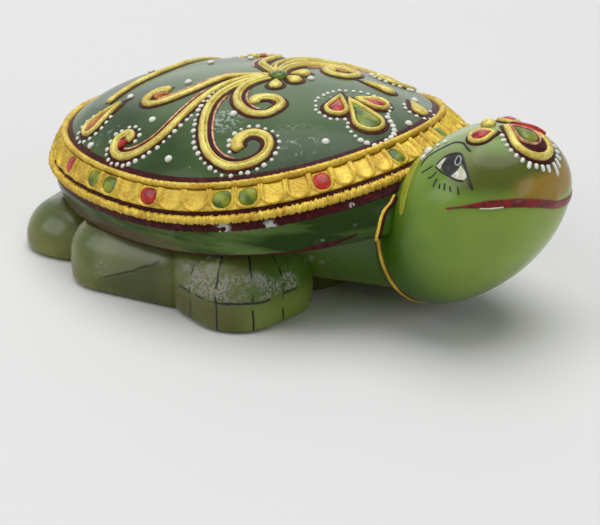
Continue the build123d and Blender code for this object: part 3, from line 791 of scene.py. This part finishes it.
def spread(lay, plan, shift):
    """Places of the plan moved by shifts in space, by least squares on the surface's two slopes."""
    small = 0.00001
    here = lay(plan, 0.0)
    slopes = np.stack([(lay(plan + step, 0.0) - here) / small for step in small * np.eye(2)], -1)
    turned = np.swapaxes(slopes, -1, -2)
    return plan + np.linalg.solve(turned @ slopes, turned @ shift[..., None])[..., 0]


def beside(plan, gap):
    """A line beside a line on the dome, a gap to its left, or to its right below zero."""
    return spread(dome, plan, gap * unit(np.cross(normals(dome, plan), np.gradient(dome(plan, 0.0), axis=0))))


def strand(plan, gap, half, height):
    """A raised line a gap beside a line on the dome."""
    return line(dome, beside(plan, gap), half, height)


def stepped(lay, plan, step):
    """Places of the plan one step apart on the surface, along a line."""
    reach = lengths(lay(plan, 0.0))
    at = np.arange(step / 2, reach[-1], step)
    return np.stack([np.interp(at, reach, axis) for axis in plan.T], -1)


def dots(lay, plan, radius):
    """Domed dots on a surface: P + R sin w (A cos v + B sin v) + 0.8 R cos w N, each sunk at its foot."""
    plan = np.asarray(plan, float)
    radius = (radius * np.ones(len(plan)))[:, None, None, None]
    up = normals(lay, plan)
    ahead = unit(np.cross(up, (0.3, 1.0, 0.2)))
    aside = np.cross(up, ahead)
    turn = circle(9)[:, None]
    bow = np.radians((0.0, 35.0, 65.0, 90.0, 180.0))[:, None, None]
    ring = np.cos(turn) * ahead[:, None, None] + np.sin(turn) * aside[:, None, None]
    lift = np.where(bow > 2, -0.3, 0.8 * np.cos(bow))
    return lay(plan, 0.0)[:, None, None] + radius * (np.sin(bow) * ring + lift * up[:, None, None])


lemon_gilding = gilt("scroll_gilding", LEMON_PALE, LEMON_DEEP)
pink_gold = mixed(
    "pink_gold_paint", {"Roughness": 0.4, "Metallic": 0.3}, (PINK_DEEP, PINK_PALE), (900, 0.35, 0.65),
    (1500, PAINT_RELIEF))
white_paint = mixed(
    "white_paint", {"Roughness": 0.36}, (WHITE_THIN, WHITE), (800, 0.3, 0.6), (1200, PAINT_RELIEF),
    "white_paint")
rough = np.random.default_rng(7)
maroon_lines, pink_lines, row_dots = [], [], []
share = np.linspace(0, 1, STRAND_ROWS)
for side, sign in (("right", 1), ("left", -1)):
    for name, points in SCROLL_POINTS.items():
        plan = flowing(0.001 * np.array(points) * SHELL_HALF[:2] * (1, sign), STRAND_ROWS)
        swell = STRAND_ROOT + (1 - STRAND_ROOT) * np.sin(np.minimum(share / STRAND_GROWN, 1) * math.pi / 2)
        swell += END_SWELL[name] * np.exp(-((STRAND_TIP[0] - share) / STRAND_TIP[1]) ** 2)
        waver = 1 + 0.05 * np.sin(61 * share + sign) + 0.04 * np.sin(143 * share)
        course = np.gradient(plan, axis=0)
        turning = course[:-1, 0] * course[1:, 1] - course[:-1, 1] * course[1:, 0]
        inner = np.sign(turning[STRAND_ROWS // 2:].sum())
        strands = [
            strand(plan, -inner * STRAND_SHIFT, STRAND_HALF * swell * waver, STRAND_HEIGHT),
            strand(plan, inner * SECOND_GAP, SECOND_HALF * waver, SECOND_HEIGHT)]
        piece(f"{side}_{name}_gilt", strands, lemon_gilding, f"{side}_{name}")
        maroon_lines.append(strand(plan, inner * INNER_GAP, INNER_HALF, PAINT_HEIGHT))
        maroon_lines.append(strand(plan, -inner * OUTLINE_GAP, OUTLINE_HALF, PAINT_HEIGHT))
        first, last = (int(end * STRAND_ROWS) for end in PINK_SHARES[name])
        pink_path = flowing(beside(plan, inner * PINK_GAP)[first:last:3], STRAND_ROWS)
        pink_lines.append(line(dome, pink_path, PINK_HALF, PINK_HEIGHT))
        if name in DOTTED_SHARES:
            first, last = (int(end * STRAND_ROWS) for end in DOTTED_SHARES[name])
            row_dots.append(stepped(dome, beside(plan, -inner * DOT_GAP)[first:last], DOT_STEP))
piece("scroll_lines_maroon", maroon_lines, maroon_paint)
piece("scroll_lines_pink", pink_lines, pink_gold)
row_dots = np.concatenate(row_dots)
row_dots += rough.normal(0, DOT_DRIFT, row_dots.shape)
row_radius = DOT_RADIUS * rough.uniform(0.75, 1.25, len(row_dots))
piece("scroll_dots", dots(dome, row_dots, row_radius), white_paint)


# Bud and trefoil: the set ornament on the shell's middle line, enamel drops in gilt borders.
# The bud gathers the roots of the scrolls, and the trefoil stands before it, dotted round in white.
BUD_SHARES = (0.118, 0.0)
BUD_RADIUS = 0.0018
BUD_HUMP = 0.0010
PETAL_SHARES = (
    ((0.158, 0.0), (0.205, 0.0)), ((0.142, -0.055), (0.176, -0.118)), ((0.142, 0.055), (0.176, 0.118)))
PETAL_RADIUS = 0.00135
PETAL_HUMP = 0.0008
TREFOIL_GREEN_SHARES = (((0.505, -0.02), (0.63, -0.1)),)
TREFOIL_GREEN_RADIUS = 0.0022
TREFOIL_RED_SHARES = (((0.452, -0.036), (0.492, -0.13)), ((0.512, 0.052), (0.566, 0.094)))
TREFOIL_RED_RADIUS = 0.0014
TREFOIL_RING = (
    (409, -168), (451, -219), (502, -230), (540, -209), (557, -172), (598, -214), (651, -244), (702, -244),
    (736, -208), (745, -137), (726, -47), (689, -9), (640, 49), (617, 120), (578, 160), (531, 169), (477,
    154), (435, 108), (400, 49), (385, -23), (389, -106))
TREFOIL_DOT_STEP = 0.0014
TREFOIL_DOT_DRIFT = 0.0001
TREFOIL_DOT_RADIUS = 0.00042
FRONT_DOT_GROWTH = 0.00022
FRONT_DOT_START = 0.031
BORDER_RING = (0.0005, 0.0005, 0.0008)
BORDER_LINE = (0.0013, OUTLINE_HALF, PAINT_HEIGHT)
EDGE_LINE = (0.0004, 0.0004, PAINT_HEIGHT)
ENAMEL_BASE = 0.0002
ENAMEL_HUMP = 0.0006


def drop(lay, tip, centre, radius, grow=0.0, count=56):
    """A drop's outline on the plan: r = R about its centre, R / cos(lean - |v|) by its tip, grown round."""
    tip, centre = np.asarray(tip, float), np.asarray(centre, float)
    towards = lay(tip, 0.0) - lay(centre, 0.0)
    length = np.linalg.norm(towards)
    ahead = towards / length
    aside = np.cross(normals(lay, centre), ahead)
    lean = math.acos(min(radius / length, 1.0))
    turn = circle(count) - math.pi
    reach = (radius + grow) / np.cos(lean - np.minimum(np.abs(turn), lean))
    shift = reach[:, None] * (np.cos(turn)[:, None] * ahead + np.sin(turn)[:, None] * aside)
    return spread(lay, np.broadcast_to(centre, (count, 2)), shift)


def pillow(lay, outline, base, hump):
    """A cushion over an outline: rise = base + hump cos w at a share sin w from its middle, flat beneath."""
    middle = outline.mean(0)
    bow = np.linspace(0, math.pi / 2, 8)
    share = np.append(np.sin(bow), (1.0, 0.0))[:, None, None]
    rise = np.append(base + hump * np.cos(bow), (-SINK, -SINK))[:, None]
    return lay(middle + share * (outline - middle), rise)


def cushions(lay, drops, radius, hump):
    """A cushion for each drop of one radius, humped over the enamel's base."""
    return [pillow(lay, drop(lay, *ends, radius), ENAMEL_BASE, hump) for ends in drops]


def button(lay, centre, radius, hump):
    """A round cushion: a drop whose tip lies on its own circle."""
    return cushions(lay, [(centre + (radius, 0), centre)], radius * 0.999, hump)


def rings(lay, drops, radius, grow, half, height):
    """A raised line round each drop of one radius, its middle grown out from the edge."""
    return [line(lay, drop(lay, *ends, radius, grow), half, height, True) for ends in drops]


def placed(shares):
    """Places of the shell's plan in metres, from shares of its half length and half width."""
    return np.asarray(shares, float) * SHELL_HALF[:2]


def bordered(drops, radius):
    """The borders, dark red outlines and enamel of drops on the dome."""
    borders, outlines = (rings(dome, drops, radius, *ring) for ring in (BORDER_RING, BORDER_LINE))
    return borders, outlines, cushions(dome, drops, radius, ENAMEL_HUMP)


bud = button(dome, placed(BUD_SHARES), BUD_RADIUS, BUD_HUMP)
piece("bud_enamel", bud, green_enamel, "bud_stone")
petals = placed(PETAL_SHARES)
petal_forms = cushions(dome, petals, PETAL_RADIUS, PETAL_HUMP)
piece("bud_petals_gilt", petal_forms, lemon_gilding, "bud_petals")
green_border, green_outline, green_fill = bordered(placed(TREFOIL_GREEN_SHARES), TREFOIL_GREEN_RADIUS)
red_border, red_outline, red_fill = bordered(placed(TREFOIL_RED_SHARES), TREFOIL_RED_RADIUS)
piece("trefoil_borders_gilt", green_border + red_border, lemon_gilding, "trefoil_bezel", loop=True)
piece("trefoil_lines_maroon", green_outline + red_outline, maroon_paint, loop=True)
piece("trefoil_green_enamel", green_fill, green_enamel, "trefoil_green_drop")
piece("trefoil_red_enamel", red_fill, red_enamel, "trefoil_red_drops")
piece("bud_lines_maroon", rings(dome, petals, PETAL_RADIUS, *EDGE_LINE), maroon_paint, loop=True)
trefoil_ring = flowing(0.001 * placed(TREFOIL_RING + TREFOIL_RING[:1]), 300)
trefoil_dots = stepped(dome, trefoil_ring, TREFOIL_DOT_STEP)
trefoil_dots += rough.normal(0, TREFOIL_DOT_DRIFT, trefoil_dots.shape)
dot_sizes = TREFOIL_DOT_RADIUS + FRONT_DOT_GROWTH * (trefoil_dots[:, 0] > FRONT_DOT_START)
piece("trefoil_dots", dots(dome, trefoil_dots, dot_sizes), white_paint)


# Drops and leaf: single gilt drops before and beside the trefoil, and amber drops behind in gilt borders.
# A gilt garland crosses the shell's tail end, and single drops of colour sit in the scrolls' curls.
FRONT_DROP_SHARES = ((0.592, 0.325), (0.666, 0.28))
FRONT_DROP_RADIUS = 0.0017
LEAF_SHARES = ((0.377, 0.293), (0.5, 0.312))
LEAF_RADIUS = 0.0011
REAR_DROP_SHARES = ((-0.44, -0.525), (-0.486, -0.65))
REAR_DROP_RADIUS = 0.0017
LONG_DROP_SHARES = ((-0.21, -0.4), (-0.252, -0.43))
LONG_DROP_RADIUS = 0.0010
CURL_DROP_SHARES = ((-0.185, -0.752), (-0.206, -0.79))
CURL_DROP_RADIUS = 0.00085
SINGLE_HUMP = 0.0007
GARLAND_SHARES = ((-0.53, -0.47), (-0.514, -0.275), (-0.48, 0.0), (-0.514, 0.275), (-0.53, 0.47))
DROP_DOT_GROW = 0.0014
REAR_DOT_RADIUS = REAR_DROP_RADIUS + 0.0009
TIP_CLEAR = 0.003
AMBER_BRIGHT = (0.66, 0.26, 0.05)
AMBER_DEEP = (0.36, 0.09, 0.02)


def paired(ends):
    """A drop on the right side and its twin across the middle line."""
    return np.array((ends, np.array(ends) * (1, -1)))


amber_enamel = mixed(
    "amber_enamel", ENAMEL_GLOSS, (AMBER_DEEP, AMBER_BRIGHT), (450, 0.32, 0.64, 4), ENAMEL_GRAIN,
    "amber_enamel")
rear_drops = placed(paired(REAR_DROP_SHARES))
rear_border, drop_lines, rear_fill = bordered(rear_drops, REAR_DROP_RADIUS)
piece("rear_drop_borders_gilt", rear_border, lemon_gilding, "rear_drop_bezels", loop=True)
piece("rear_drop_enamel", rear_fill, amber_enamel, "rear_drop_stones")
single_drops = {
    "front_drop": ([FRONT_DROP_SHARES], FRONT_DROP_RADIUS, lemon_gilding),
    "crest_leaf": ([LEAF_SHARES], LEAF_RADIUS, lemon_gilding),
    "long_scroll_drops": (paired(LONG_DROP_SHARES), LONG_DROP_RADIUS, amber_enamel),
    "curl_stones": (paired(CURL_DROP_SHARES), CURL_DROP_RADIUS, red_enamel),
}
for name, (shares, radius, finish) in single_drops.items():
    piece(f"{name}_set", cushions(dome, placed(shares), radius, SINGLE_HUMP), finish, name)
    if finish is lemon_gilding:
        drop_lines += rings(dome, placed(shares), radius, *EDGE_LINE)
piece("drop_lines_maroon", drop_lines, maroon_paint, loop=True)
garland = flowing(placed(GARLAND_SHARES), STRAND_ROWS)
garland_strand = line(dome, garland, STRAND_HALF, STRAND_HEIGHT)
piece("rear_garland_gilt", garland_strand[None], lemon_gilding, "rear_garland")
garland_lines = [strand(garland, gap, OUTLINE_HALF, PAINT_HEIGHT) for gap in (OUTLINE_GAP, -OUTLINE_GAP)]
piece("garland_lines_maroon", garland_lines, maroon_paint)
drop_dots = []
dotted_radius = (FRONT_DROP_RADIUS, REAR_DOT_RADIUS, REAR_DOT_RADIUS)
for ends, radius in zip((placed(FRONT_DROP_SHARES), *rear_drops), dotted_radius):
    around = stepped(dome, drop(dome, *ends, radius, DROP_DOT_GROW), DOT_STEP)
    drop_dots.append(around[np.linalg.norm(around - ends[0], axis=-1) > TIP_CLEAR])
piece("drop_dots", dots(dome, np.concatenate(drop_dots), DOT_RADIUS), white_paint)


# White dots: drops of thick white paint let fall from a brush between the scrolls and on the middle line.
# They dry as low round beads, the same on both sides but for four near the middle.
PAIRED_DOT_SHARES = np.array((
    (0.07, -0.818), (-0.15, -0.624), (-0.4, -0.78), (-0.42, -0.43), (-0.207, -0.257), (0.178, -0.462),
    (0.587, -0.382)))
SINGLE_DOT_SHARES = np.array(((-0.32, 0.086), (0.236, 0.084), (0.72, 0.084), (-0.62, 0.0)))
WHITE_DOT_RADIUS = 0.0008
large_places = placed(np.concatenate([PAIRED_DOT_SHARES, PAIRED_DOT_SHARES * (1, -1), SINGLE_DOT_SHARES]))
large_dots = dots(dome, large_places, WHITE_DOT_RADIUS)
piece("large_white_dots", large_dots, white_paint, "white_dots")


# Brow: a gilt medallion on the forehead with a green drop, two red petals and a gilt crest behind it, raised
# like the rim's gilding. The medallion is bedded and lined in dark red and edged in red on its left side.
# Short strokes of white paint stand like teeth round its front.
MEDALLION_SHARES = ((0.62, 0.0), (0.8, 0.0))
MEDALLION_RADIUS = 0.0033
MEDALLION_RING = (0.0002, 0.0008, 0.0008)
MEDALLION_LINE = (0.0011, 0.0004, PAINT_HEIGHT)
BED_INSET = 0.0002
BED_HUMP = 0.0005
BROW_DROP_INSET = 0.0014
BROW_DROP_SHIFT = np.array(((0.0008, 0.0), (-0.0008, 0.0)))
BROW_DROP_HUMP = 0.0010
BROW_DROP_LINE = (0.0002, 0.00025, 0.0010)
BROW_PETAL_SHARES = ((0.595, -0.18), (0.535, -0.275))
BROW_PETAL_RADIUS = 0.0015
BROW_PETAL_RING = (0.0002, 0.0005, 0.0007)
BROW_PETAL_LINE = (0.0008, 0.0003, 0.0002)
CREST_SHARES = (0.49, 0.0)
CREST_RADIUS = 0.0014
CREST_HUMP = 0.0009
RED_SIDE_GROW = 0.0004
RED_SIDE_START = 0.0004
RED_SIDE_END = 0.0545
RED_SIDE_THIN = 0.0002
RED_SIDE_SWELL = 0.0006
RED_SIDE_HEIGHT = 0.0013
RED_SIDE_ROWS = 80
TEETH_GAP = 0.0019
TEETH_STEP = 0.00135
TEETH_START = 0.0492
TOOTH_BACK = 0.0005
TOOTH_REACH = (0.0003, 0.0008)
TOOTH_SIZE = (0.00036, 0.00035)
TOOTH_LEAN = 0.0008


def brow(plan, rise):
    """Points a rise over places of the head's plan: z = mid + half sqrt(1 - (y/w)^2)."""
    x, y = np.moveaxis(np.asarray(plan, float), -1, 0)
    low, high, width = head_sizes(x)
    share = np.sqrt(np.maximum(1 - (y / np.maximum(width, 1e-6)) ** 2, 0))
    height = (low + high) / 2 + (high - low) / 2 * share
    return off_head(np.stack([x, y, height], -1), np.broadcast_to(rise, x.shape))


def on_brow(shares):
    """Places of the head's plan in metres, from shares of its length and half width."""
    return np.asarray(shares, float) * (HEAD_LENGTH, HEAD_HALF_WIDTH) + (HEAD_BACK, 0.0)


medallion = on_brow(MEDALLION_SHARES)
brow_border = rings(brow, [medallion], MEDALLION_RADIUS, *MEDALLION_RING)
piece("brow_border_gilt", brow_border, lemon_gilding, "brow_bezel", loop=True)
brow_bed = cushions(brow, [medallion], MEDALLION_RADIUS - BED_INSET, BED_HUMP)
piece("brow_bed_maroon", brow_bed, maroon_paint)
brow_drop = [medallion + BROW_DROP_SHIFT], MEDALLION_RADIUS - BROW_DROP_INSET
brow_enamel = cushions(brow, *brow_drop, BROW_DROP_HUMP)
piece("brow_green_enamel", brow_enamel, green_enamel, "brow_green_drop")
brow_petals = on_brow(paired(BROW_PETAL_SHARES)), BROW_PETAL_RADIUS
piece("brow_petals_red", cushions(brow, *brow_petals, PETAL_HUMP), red_enamel, "brow_red_petals")
piece("brow_petal_rings_gilt", rings(brow, *brow_petals, *BROW_PETAL_RING), lemon_gilding, loop=True)
crest = button(brow, on_brow(CREST_SHARES), CREST_RADIUS, CREST_HUMP)
piece("brow_crest_gilt", crest, lemon_gilding, "brow_crest")
brow_lines = rings(brow, [medallion], MEDALLION_RADIUS, *MEDALLION_LINE)
brow_lines += rings(brow, *brow_petals, *BROW_PETAL_LINE)
piece("brow_lines_maroon", brow_lines, maroon_paint, loop=True)
piece("brow_line_pink", rings(brow, *brow_drop, *BROW_DROP_LINE), pink_gold, loop=True)
red_side = drop(brow, *medallion, MEDALLION_RADIUS, RED_SIDE_GROW, 160)
red_side = red_side[(red_side[:, 1] > RED_SIDE_START) & (red_side[:, 0] < RED_SIDE_END)]
red_side = flowing(red_side[np.argsort(red_side[:, 0])][::4], RED_SIDE_ROWS)
red_half = RED_SIDE_THIN + RED_SIDE_SWELL * np.sin(np.linspace(0, math.pi, RED_SIDE_ROWS))
piece("brow_side_red", line(brow, red_side, red_half, RED_SIDE_HEIGHT)[None], red_enamel)
teeth = stepped(brow, drop(brow, *medallion, MEDALLION_RADIUS, TEETH_GAP, 200), TEETH_STEP)
teeth = teeth[teeth[:, 0] > TEETH_START]
outward = unit(teeth - medallion[1] + rough.normal(0, TOOTH_LEAN, teeth.shape))
reach = rough.uniform(*TOOTH_REACH, len(teeth))
strokes = [
    line(brow, spot + way * np.linspace(-TOOTH_BACK, far, 9)[:, None], *TOOTH_SIZE)
    for spot, way, far in zip(teeth, outward, reach)]
piece("brow_teeth", strokes, white_paint)


# Face: both eyes and the mouth are brushed on the head stone, black lines with a dark red mouth.
# Each eye has a dark iris with a pale glint, two cream corners, a crease above and seven lashes below.
# Its places are a turn in degrees about a standing axis and a height in millimetres.
FACE_AXIS = 0.0430
FACE_ROUND = 0.015
FACE_REACH = 0.032
CREASE = (
    (-117.9, 32.2), (-120.3, 33.2), (-116.6, 34.6), (-108.5, 35.8), (-100.9, 36.6), (-89.5, 37.1),
    (-76.1, 37.3), (-67.6, 37.0), (-64.5, 36.9))
UPPER_LID = (
    (-97.4, 33.7), (-95.4, 34.6), (-91.4, 35.4), (-81.8, 36.1), (-75.6, 36.2), (-71.4, 35.8), (-68.5, 35.3))
LOWER_LID = ((-97.4, 33.7), (-88.1, 33.4), (-80.3, 33.3), (-73.8, 33.1), (-69.0, 33.1), (-66.7, 33.2))
OUTER_LINE = ((-74.4, 36.2), (-68.7, 35.4), (-65.9, 34.6), (-63.3, 33.7), (-61.5, 32.8), (-59.4, 32.1))
EYE_LINES = ((CREASE, 0.00022), (UPPER_LID, 0.00034), (LOWER_LID, 0.00018), (OUTER_LINE, 0.00024))
EYE_LINE_HEIGHT = 0.00012
LASHES = (
    ((-100.8, 33.6), (-107.2, 32.3), (-109.6, 31.8)), ((-93.0, 33.2), (-95.0, 32.3), (-98.8, 31.8)),
    ((-89.3, 32.4), (-89.7, 31.7), (-90.0, 31.0)), ((-85.0, 31.9), (-84.6, 31.5), (-84.2, 31.1)),
    ((-81.0, 32.2), (-80.4, 31.6), (-79.9, 31.1)), ((-76.4, 32.0), (-75.5, 31.6), (-74.6, 31.2)),
    ((-70.5, 32.2), (-69.5, 31.6), (-68.6, 31.0)))
LASH_SIZE = (0.00016, 0.00010)
IRIS = (
    (-91.0, 34.1), (-89.5, 35.1), (-86.5, 35.6), (-80.0, 35.9), (-73.5, 35.6), (-72.0, 34.9), (-74.5, 34.0),
    (-77.8, 33.5), (-85.0, 33.5))
IRIS_BASE = 0.00010
GLINT = ((-78.0, 35.2), (-77.3, 35.8), (-74.0, 35.9), (-72.3, 35.5), (-73.5, 35.0), (-76.0, 34.9))
GLINT_SIZE = (0.00012, 0.0003)
BACK_CORNER = ((-97.0, 33.8), (-95.2, 34.5), (-92.0, 35.2), (-90.0, 34.6), (-91.0, 33.6))
FRONT_CORNER = (
    (-71.9, 35.0), (-75.0, 34.1), (-77.2, 33.4), (-72.0, 33.2), (-67.0, 33.2), (-64.8, 33.8), (-68.4, 34.7))
CORNER_BASE = 0.00006
EYE_HUMP = 0.00006
MOUTH = (
    (-76.0, 28.5), (-63.6, 29.4), (-54.5, 29.9), (-42.5, 30.2), (-30.5, 30.2), (-15.9, 29.2), (0.0, 27.5),
    (16.0, 26.4), (32.0, 26.2), (46.0, 27.3), (58.0, 28.5), (76.0, 28.4))
MOUTH_ROWS = 200
MOUTH_THIN = 0.00016
MOUTH_SWELL = 0.00062
MOUTH_GROWS = (0.06, 0.12)
MOUTH_HEIGHT = 0.0002
MOUTH_GLEAM = ((-55.0, 29.35), (-50.0, 29.4), (-45.0, 29.55), (-40.0, 29.7))
GLEAM_SIZE = (0.00016, 0.00024)
TEMPLE_DOTS = ((-131.0, 33.9, 0.0010), (-128.1, 33.0, 0.0007), (-126.7, 35.2, 0.0005), (-119.5, 36.1, 0.0005))
FACE_CLOUD = (900, 0.42, 0.72)
FACE_GRAIN = (1400, 0.00008)
INK = (0.007, 0.007, 0.008)
INK_THIN = (0.030, 0.034, 0.024)
LIP = (0.230, 0.010, 0.008)
LIP_DARK = (0.060, 0.006, 0.004)
CREAM = (0.62, 0.60, 0.44)
GLINT_PALE = (0.42, 0.50, 0.52)


def face(plan, rise):
    """Points on the head at a turn about a standing axis and a height: the reach is halved onto oval = 1."""
    turn = plan[..., 0] / FACE_ROUND
    near = np.zeros(turn.shape)
    far = np.full(turn.shape, FACE_REACH)
    for halving in range(44):
        reach = (near + far) / 2
        point = np.stack([FACE_AXIS + reach * np.cos(turn), reach * np.sin(turn), plan[..., 1]], -1)
        outside = oval(point) > 1
        near, far = np.where(outside, near, reach), np.where(outside, reach, far)
    return off_head(point, np.broadcast_to(rise, turn.shape))


def on_face(points, sign):
    """Places of the face in metres, on the right side or mirrored to the left."""
    return np.asarray(points, float)[:, :2] * (sign * math.radians(1) * FACE_ROUND, 0.001)


def brushed(points, sign, count, half, height):
    """A brushed line through places of the face."""
    return line(face, flowing(on_face(points, sign), count), half, height)


def outlined(points, sign):
    """A closed smooth outline through places of the face."""
    return flowing(on_face(points + points[:1], sign), 41)[:-1]


black_paint, lip_paint, cream_paint, glint_paint = (
    mixed(name, {"Roughness": roughness, "Specular IOR Level": 0.3}, tones, FACE_CLOUD, FACE_GRAIN)
    for name, roughness, tones in (
        ("black_paint", 0.35, (INK, INK_THIN)), ("lip_paint", 0.3, (LIP, LIP_DARK)),
        ("cream_paint", 0.4, (CREAM, WHITE)), ("glint_paint", 0.3, (GLINT_PALE, WHITE))))
eye_lines, lash_lines, irises, glints, corners, gleams = ([] for group in range(6))
for sign in (1, -1):
    for points, half in EYE_LINES:
        eye_lines.append(brushed(points, sign, 48, half, EYE_LINE_HEIGHT))
    lash_lines += [brushed(points, sign, 12, *LASH_SIZE) for points in LASHES]
    irises.append(pillow(face, outlined(IRIS, sign), IRIS_BASE, EYE_HUMP))
    glints.append(line(face, outlined(GLINT, sign), *GLINT_SIZE, True))
    for points in (FRONT_CORNER, BACK_CORNER):
        corners.append(pillow(face, outlined(points, sign), CORNER_BASE, EYE_HUMP))
    gleams.append(brushed(MOUTH_GLEAM, sign, 24, *GLEAM_SIZE))
piece("eye_lines", eye_lines, black_paint)
piece("lashes", lash_lines, black_paint)
piece("irises", irises, black_paint)
piece("eye_glints", glints, glint_paint, loop=True)
piece("eye_corners", corners, cream_paint)
temple_places = np.concatenate([on_face(TEMPLE_DOTS, sign) for sign in (1, -1)])
temple_radius = np.tile([spot[2] for spot in TEMPLE_DOTS], 2)
piece("temple_dots", dots(face, temple_places, temple_radius), white_paint)
mouth = flowing(on_face(MOUTH, 1), MOUTH_ROWS)
from_end = np.minimum(np.linspace(0, 1, MOUTH_ROWS), np.linspace(1, 0, MOUTH_ROWS))
mouth_half = MOUTH_THIN + MOUTH_SWELL * np.clip((from_end - MOUTH_GROWS[0]) / MOUTH_GROWS[1], 0, 1)
piece("mouth", line(face, mouth, mouth_half, MOUTH_HEIGHT)[None], lip_paint)
piece("mouth_gleams", gleams, cream_paint)


# Studio: a plain pale floor under a wide soft light from above, with lamps behind and at both sides in front.
# The camera stands where the photograph was taken from.
FLOOR_HALF = 3.0
FLOOR_PALE = (0.80, 0.80, 0.80, 1.0)
CAMERA_PLACE = (0.18365, -0.2227, 0.1386)
CAMERA_AIM = (0.00128, 0.00092, -0.00193)
CAMERA_LENS = 94.34
SUN_LEVEL = 2.02
SUN_SPREAD = math.radians(54.0)
SUN_TURN = (math.radians(-8.0), math.radians(-4.0), 0.0)
WORLD_LEVEL = 0.10
BACKDROP_PALE = 0.82
LAMPS = {
    "behind": ((-0.52, 0.62, 0.40), (0.0, 0.0, 0.02), 0.80, 1.3),
    "front_left": ((-0.45, -0.65, 0.60), (0.0, 0.0, 0.01), 0.60, 2.6),
    "front_right": ((0.75, -0.05, 0.35), (0.02, 0.0, 0.01), 0.40, 1.0),
}


def stand(name, data):
    """A new object of the studio."""
    made = bpy.data.objects.new(name, data)
    bpy.context.scene.collection.objects.link(made)
    return made


def aim(holder, place, target):
    """Stands a lamp or camera at a place and turns it to its target."""
    holder.location = place
    holder.rotation_euler = (Vector(target) - Vector(place)).to_track_quat("-Z", "Y").to_euler()


floor_mesh = bpy.data.meshes.new("floor")
floor_corners = [(x * FLOOR_HALF, y * FLOOR_HALF, 0) for x, y in ((-1, -1), (1, -1), (1, 1), (-1, 1))]
floor_mesh.from_pydata(floor_corners, [], [(0, 1, 2, 3)])
floor_finish = Finish("floor_pale", {"Roughness": 0.8, "Specular IOR Level": 0.1, "Base Color": FLOOR_PALE})
floor_mesh.materials.append(floor_finish.material)
floor = stand("floor", floor_mesh)

for name, (place, target, size, power) in LAMPS.items():
    lamp = bpy.data.lights.new(name, "AREA")
    lamp.size = size
    lamp.energy = power
    aim(stand(name, lamp), place, target)

sky = bpy.data.lights.new("overhead", "SUN")
sky.energy = SUN_LEVEL
sky.angle = SUN_SPREAD
stand("overhead", sky).rotation_euler = SUN_TURN

world = bpy.data.worlds.new("studio")
world.use_nodes = True
backdrop = world.node_tree.nodes["Background"]
backdrop.inputs["Color"].default_value = (1.0, 1.0, 1.0, 1.0)
rays = world.node_tree.nodes.new("ShaderNodeLightPath")
seen, mirrored, through = (
    Value(world.node_tree, rays.outputs[f"Is {kind} Ray"]) for kind in ("Camera", "Glossy", "Transmission"))
strength = WORLD_LEVEL + (BACKDROP_PALE - WORLD_LEVEL) * seen.most(mirrored.most(through))
world.node_tree.links.new(strength.socket, backdrop.inputs["Strength"])
bpy.context.scene.world = world

camera = stand("camera", bpy.data.cameras.new("camera"))
camera.data.lens = CAMERA_LENS
camera.data.clip_start = 0.01
aim(camera, CAMERA_PLACE, CAMERA_AIM)
bpy.context.scene.camera = camera
bpy.context.scene.view_settings.view_transform = "Standard"
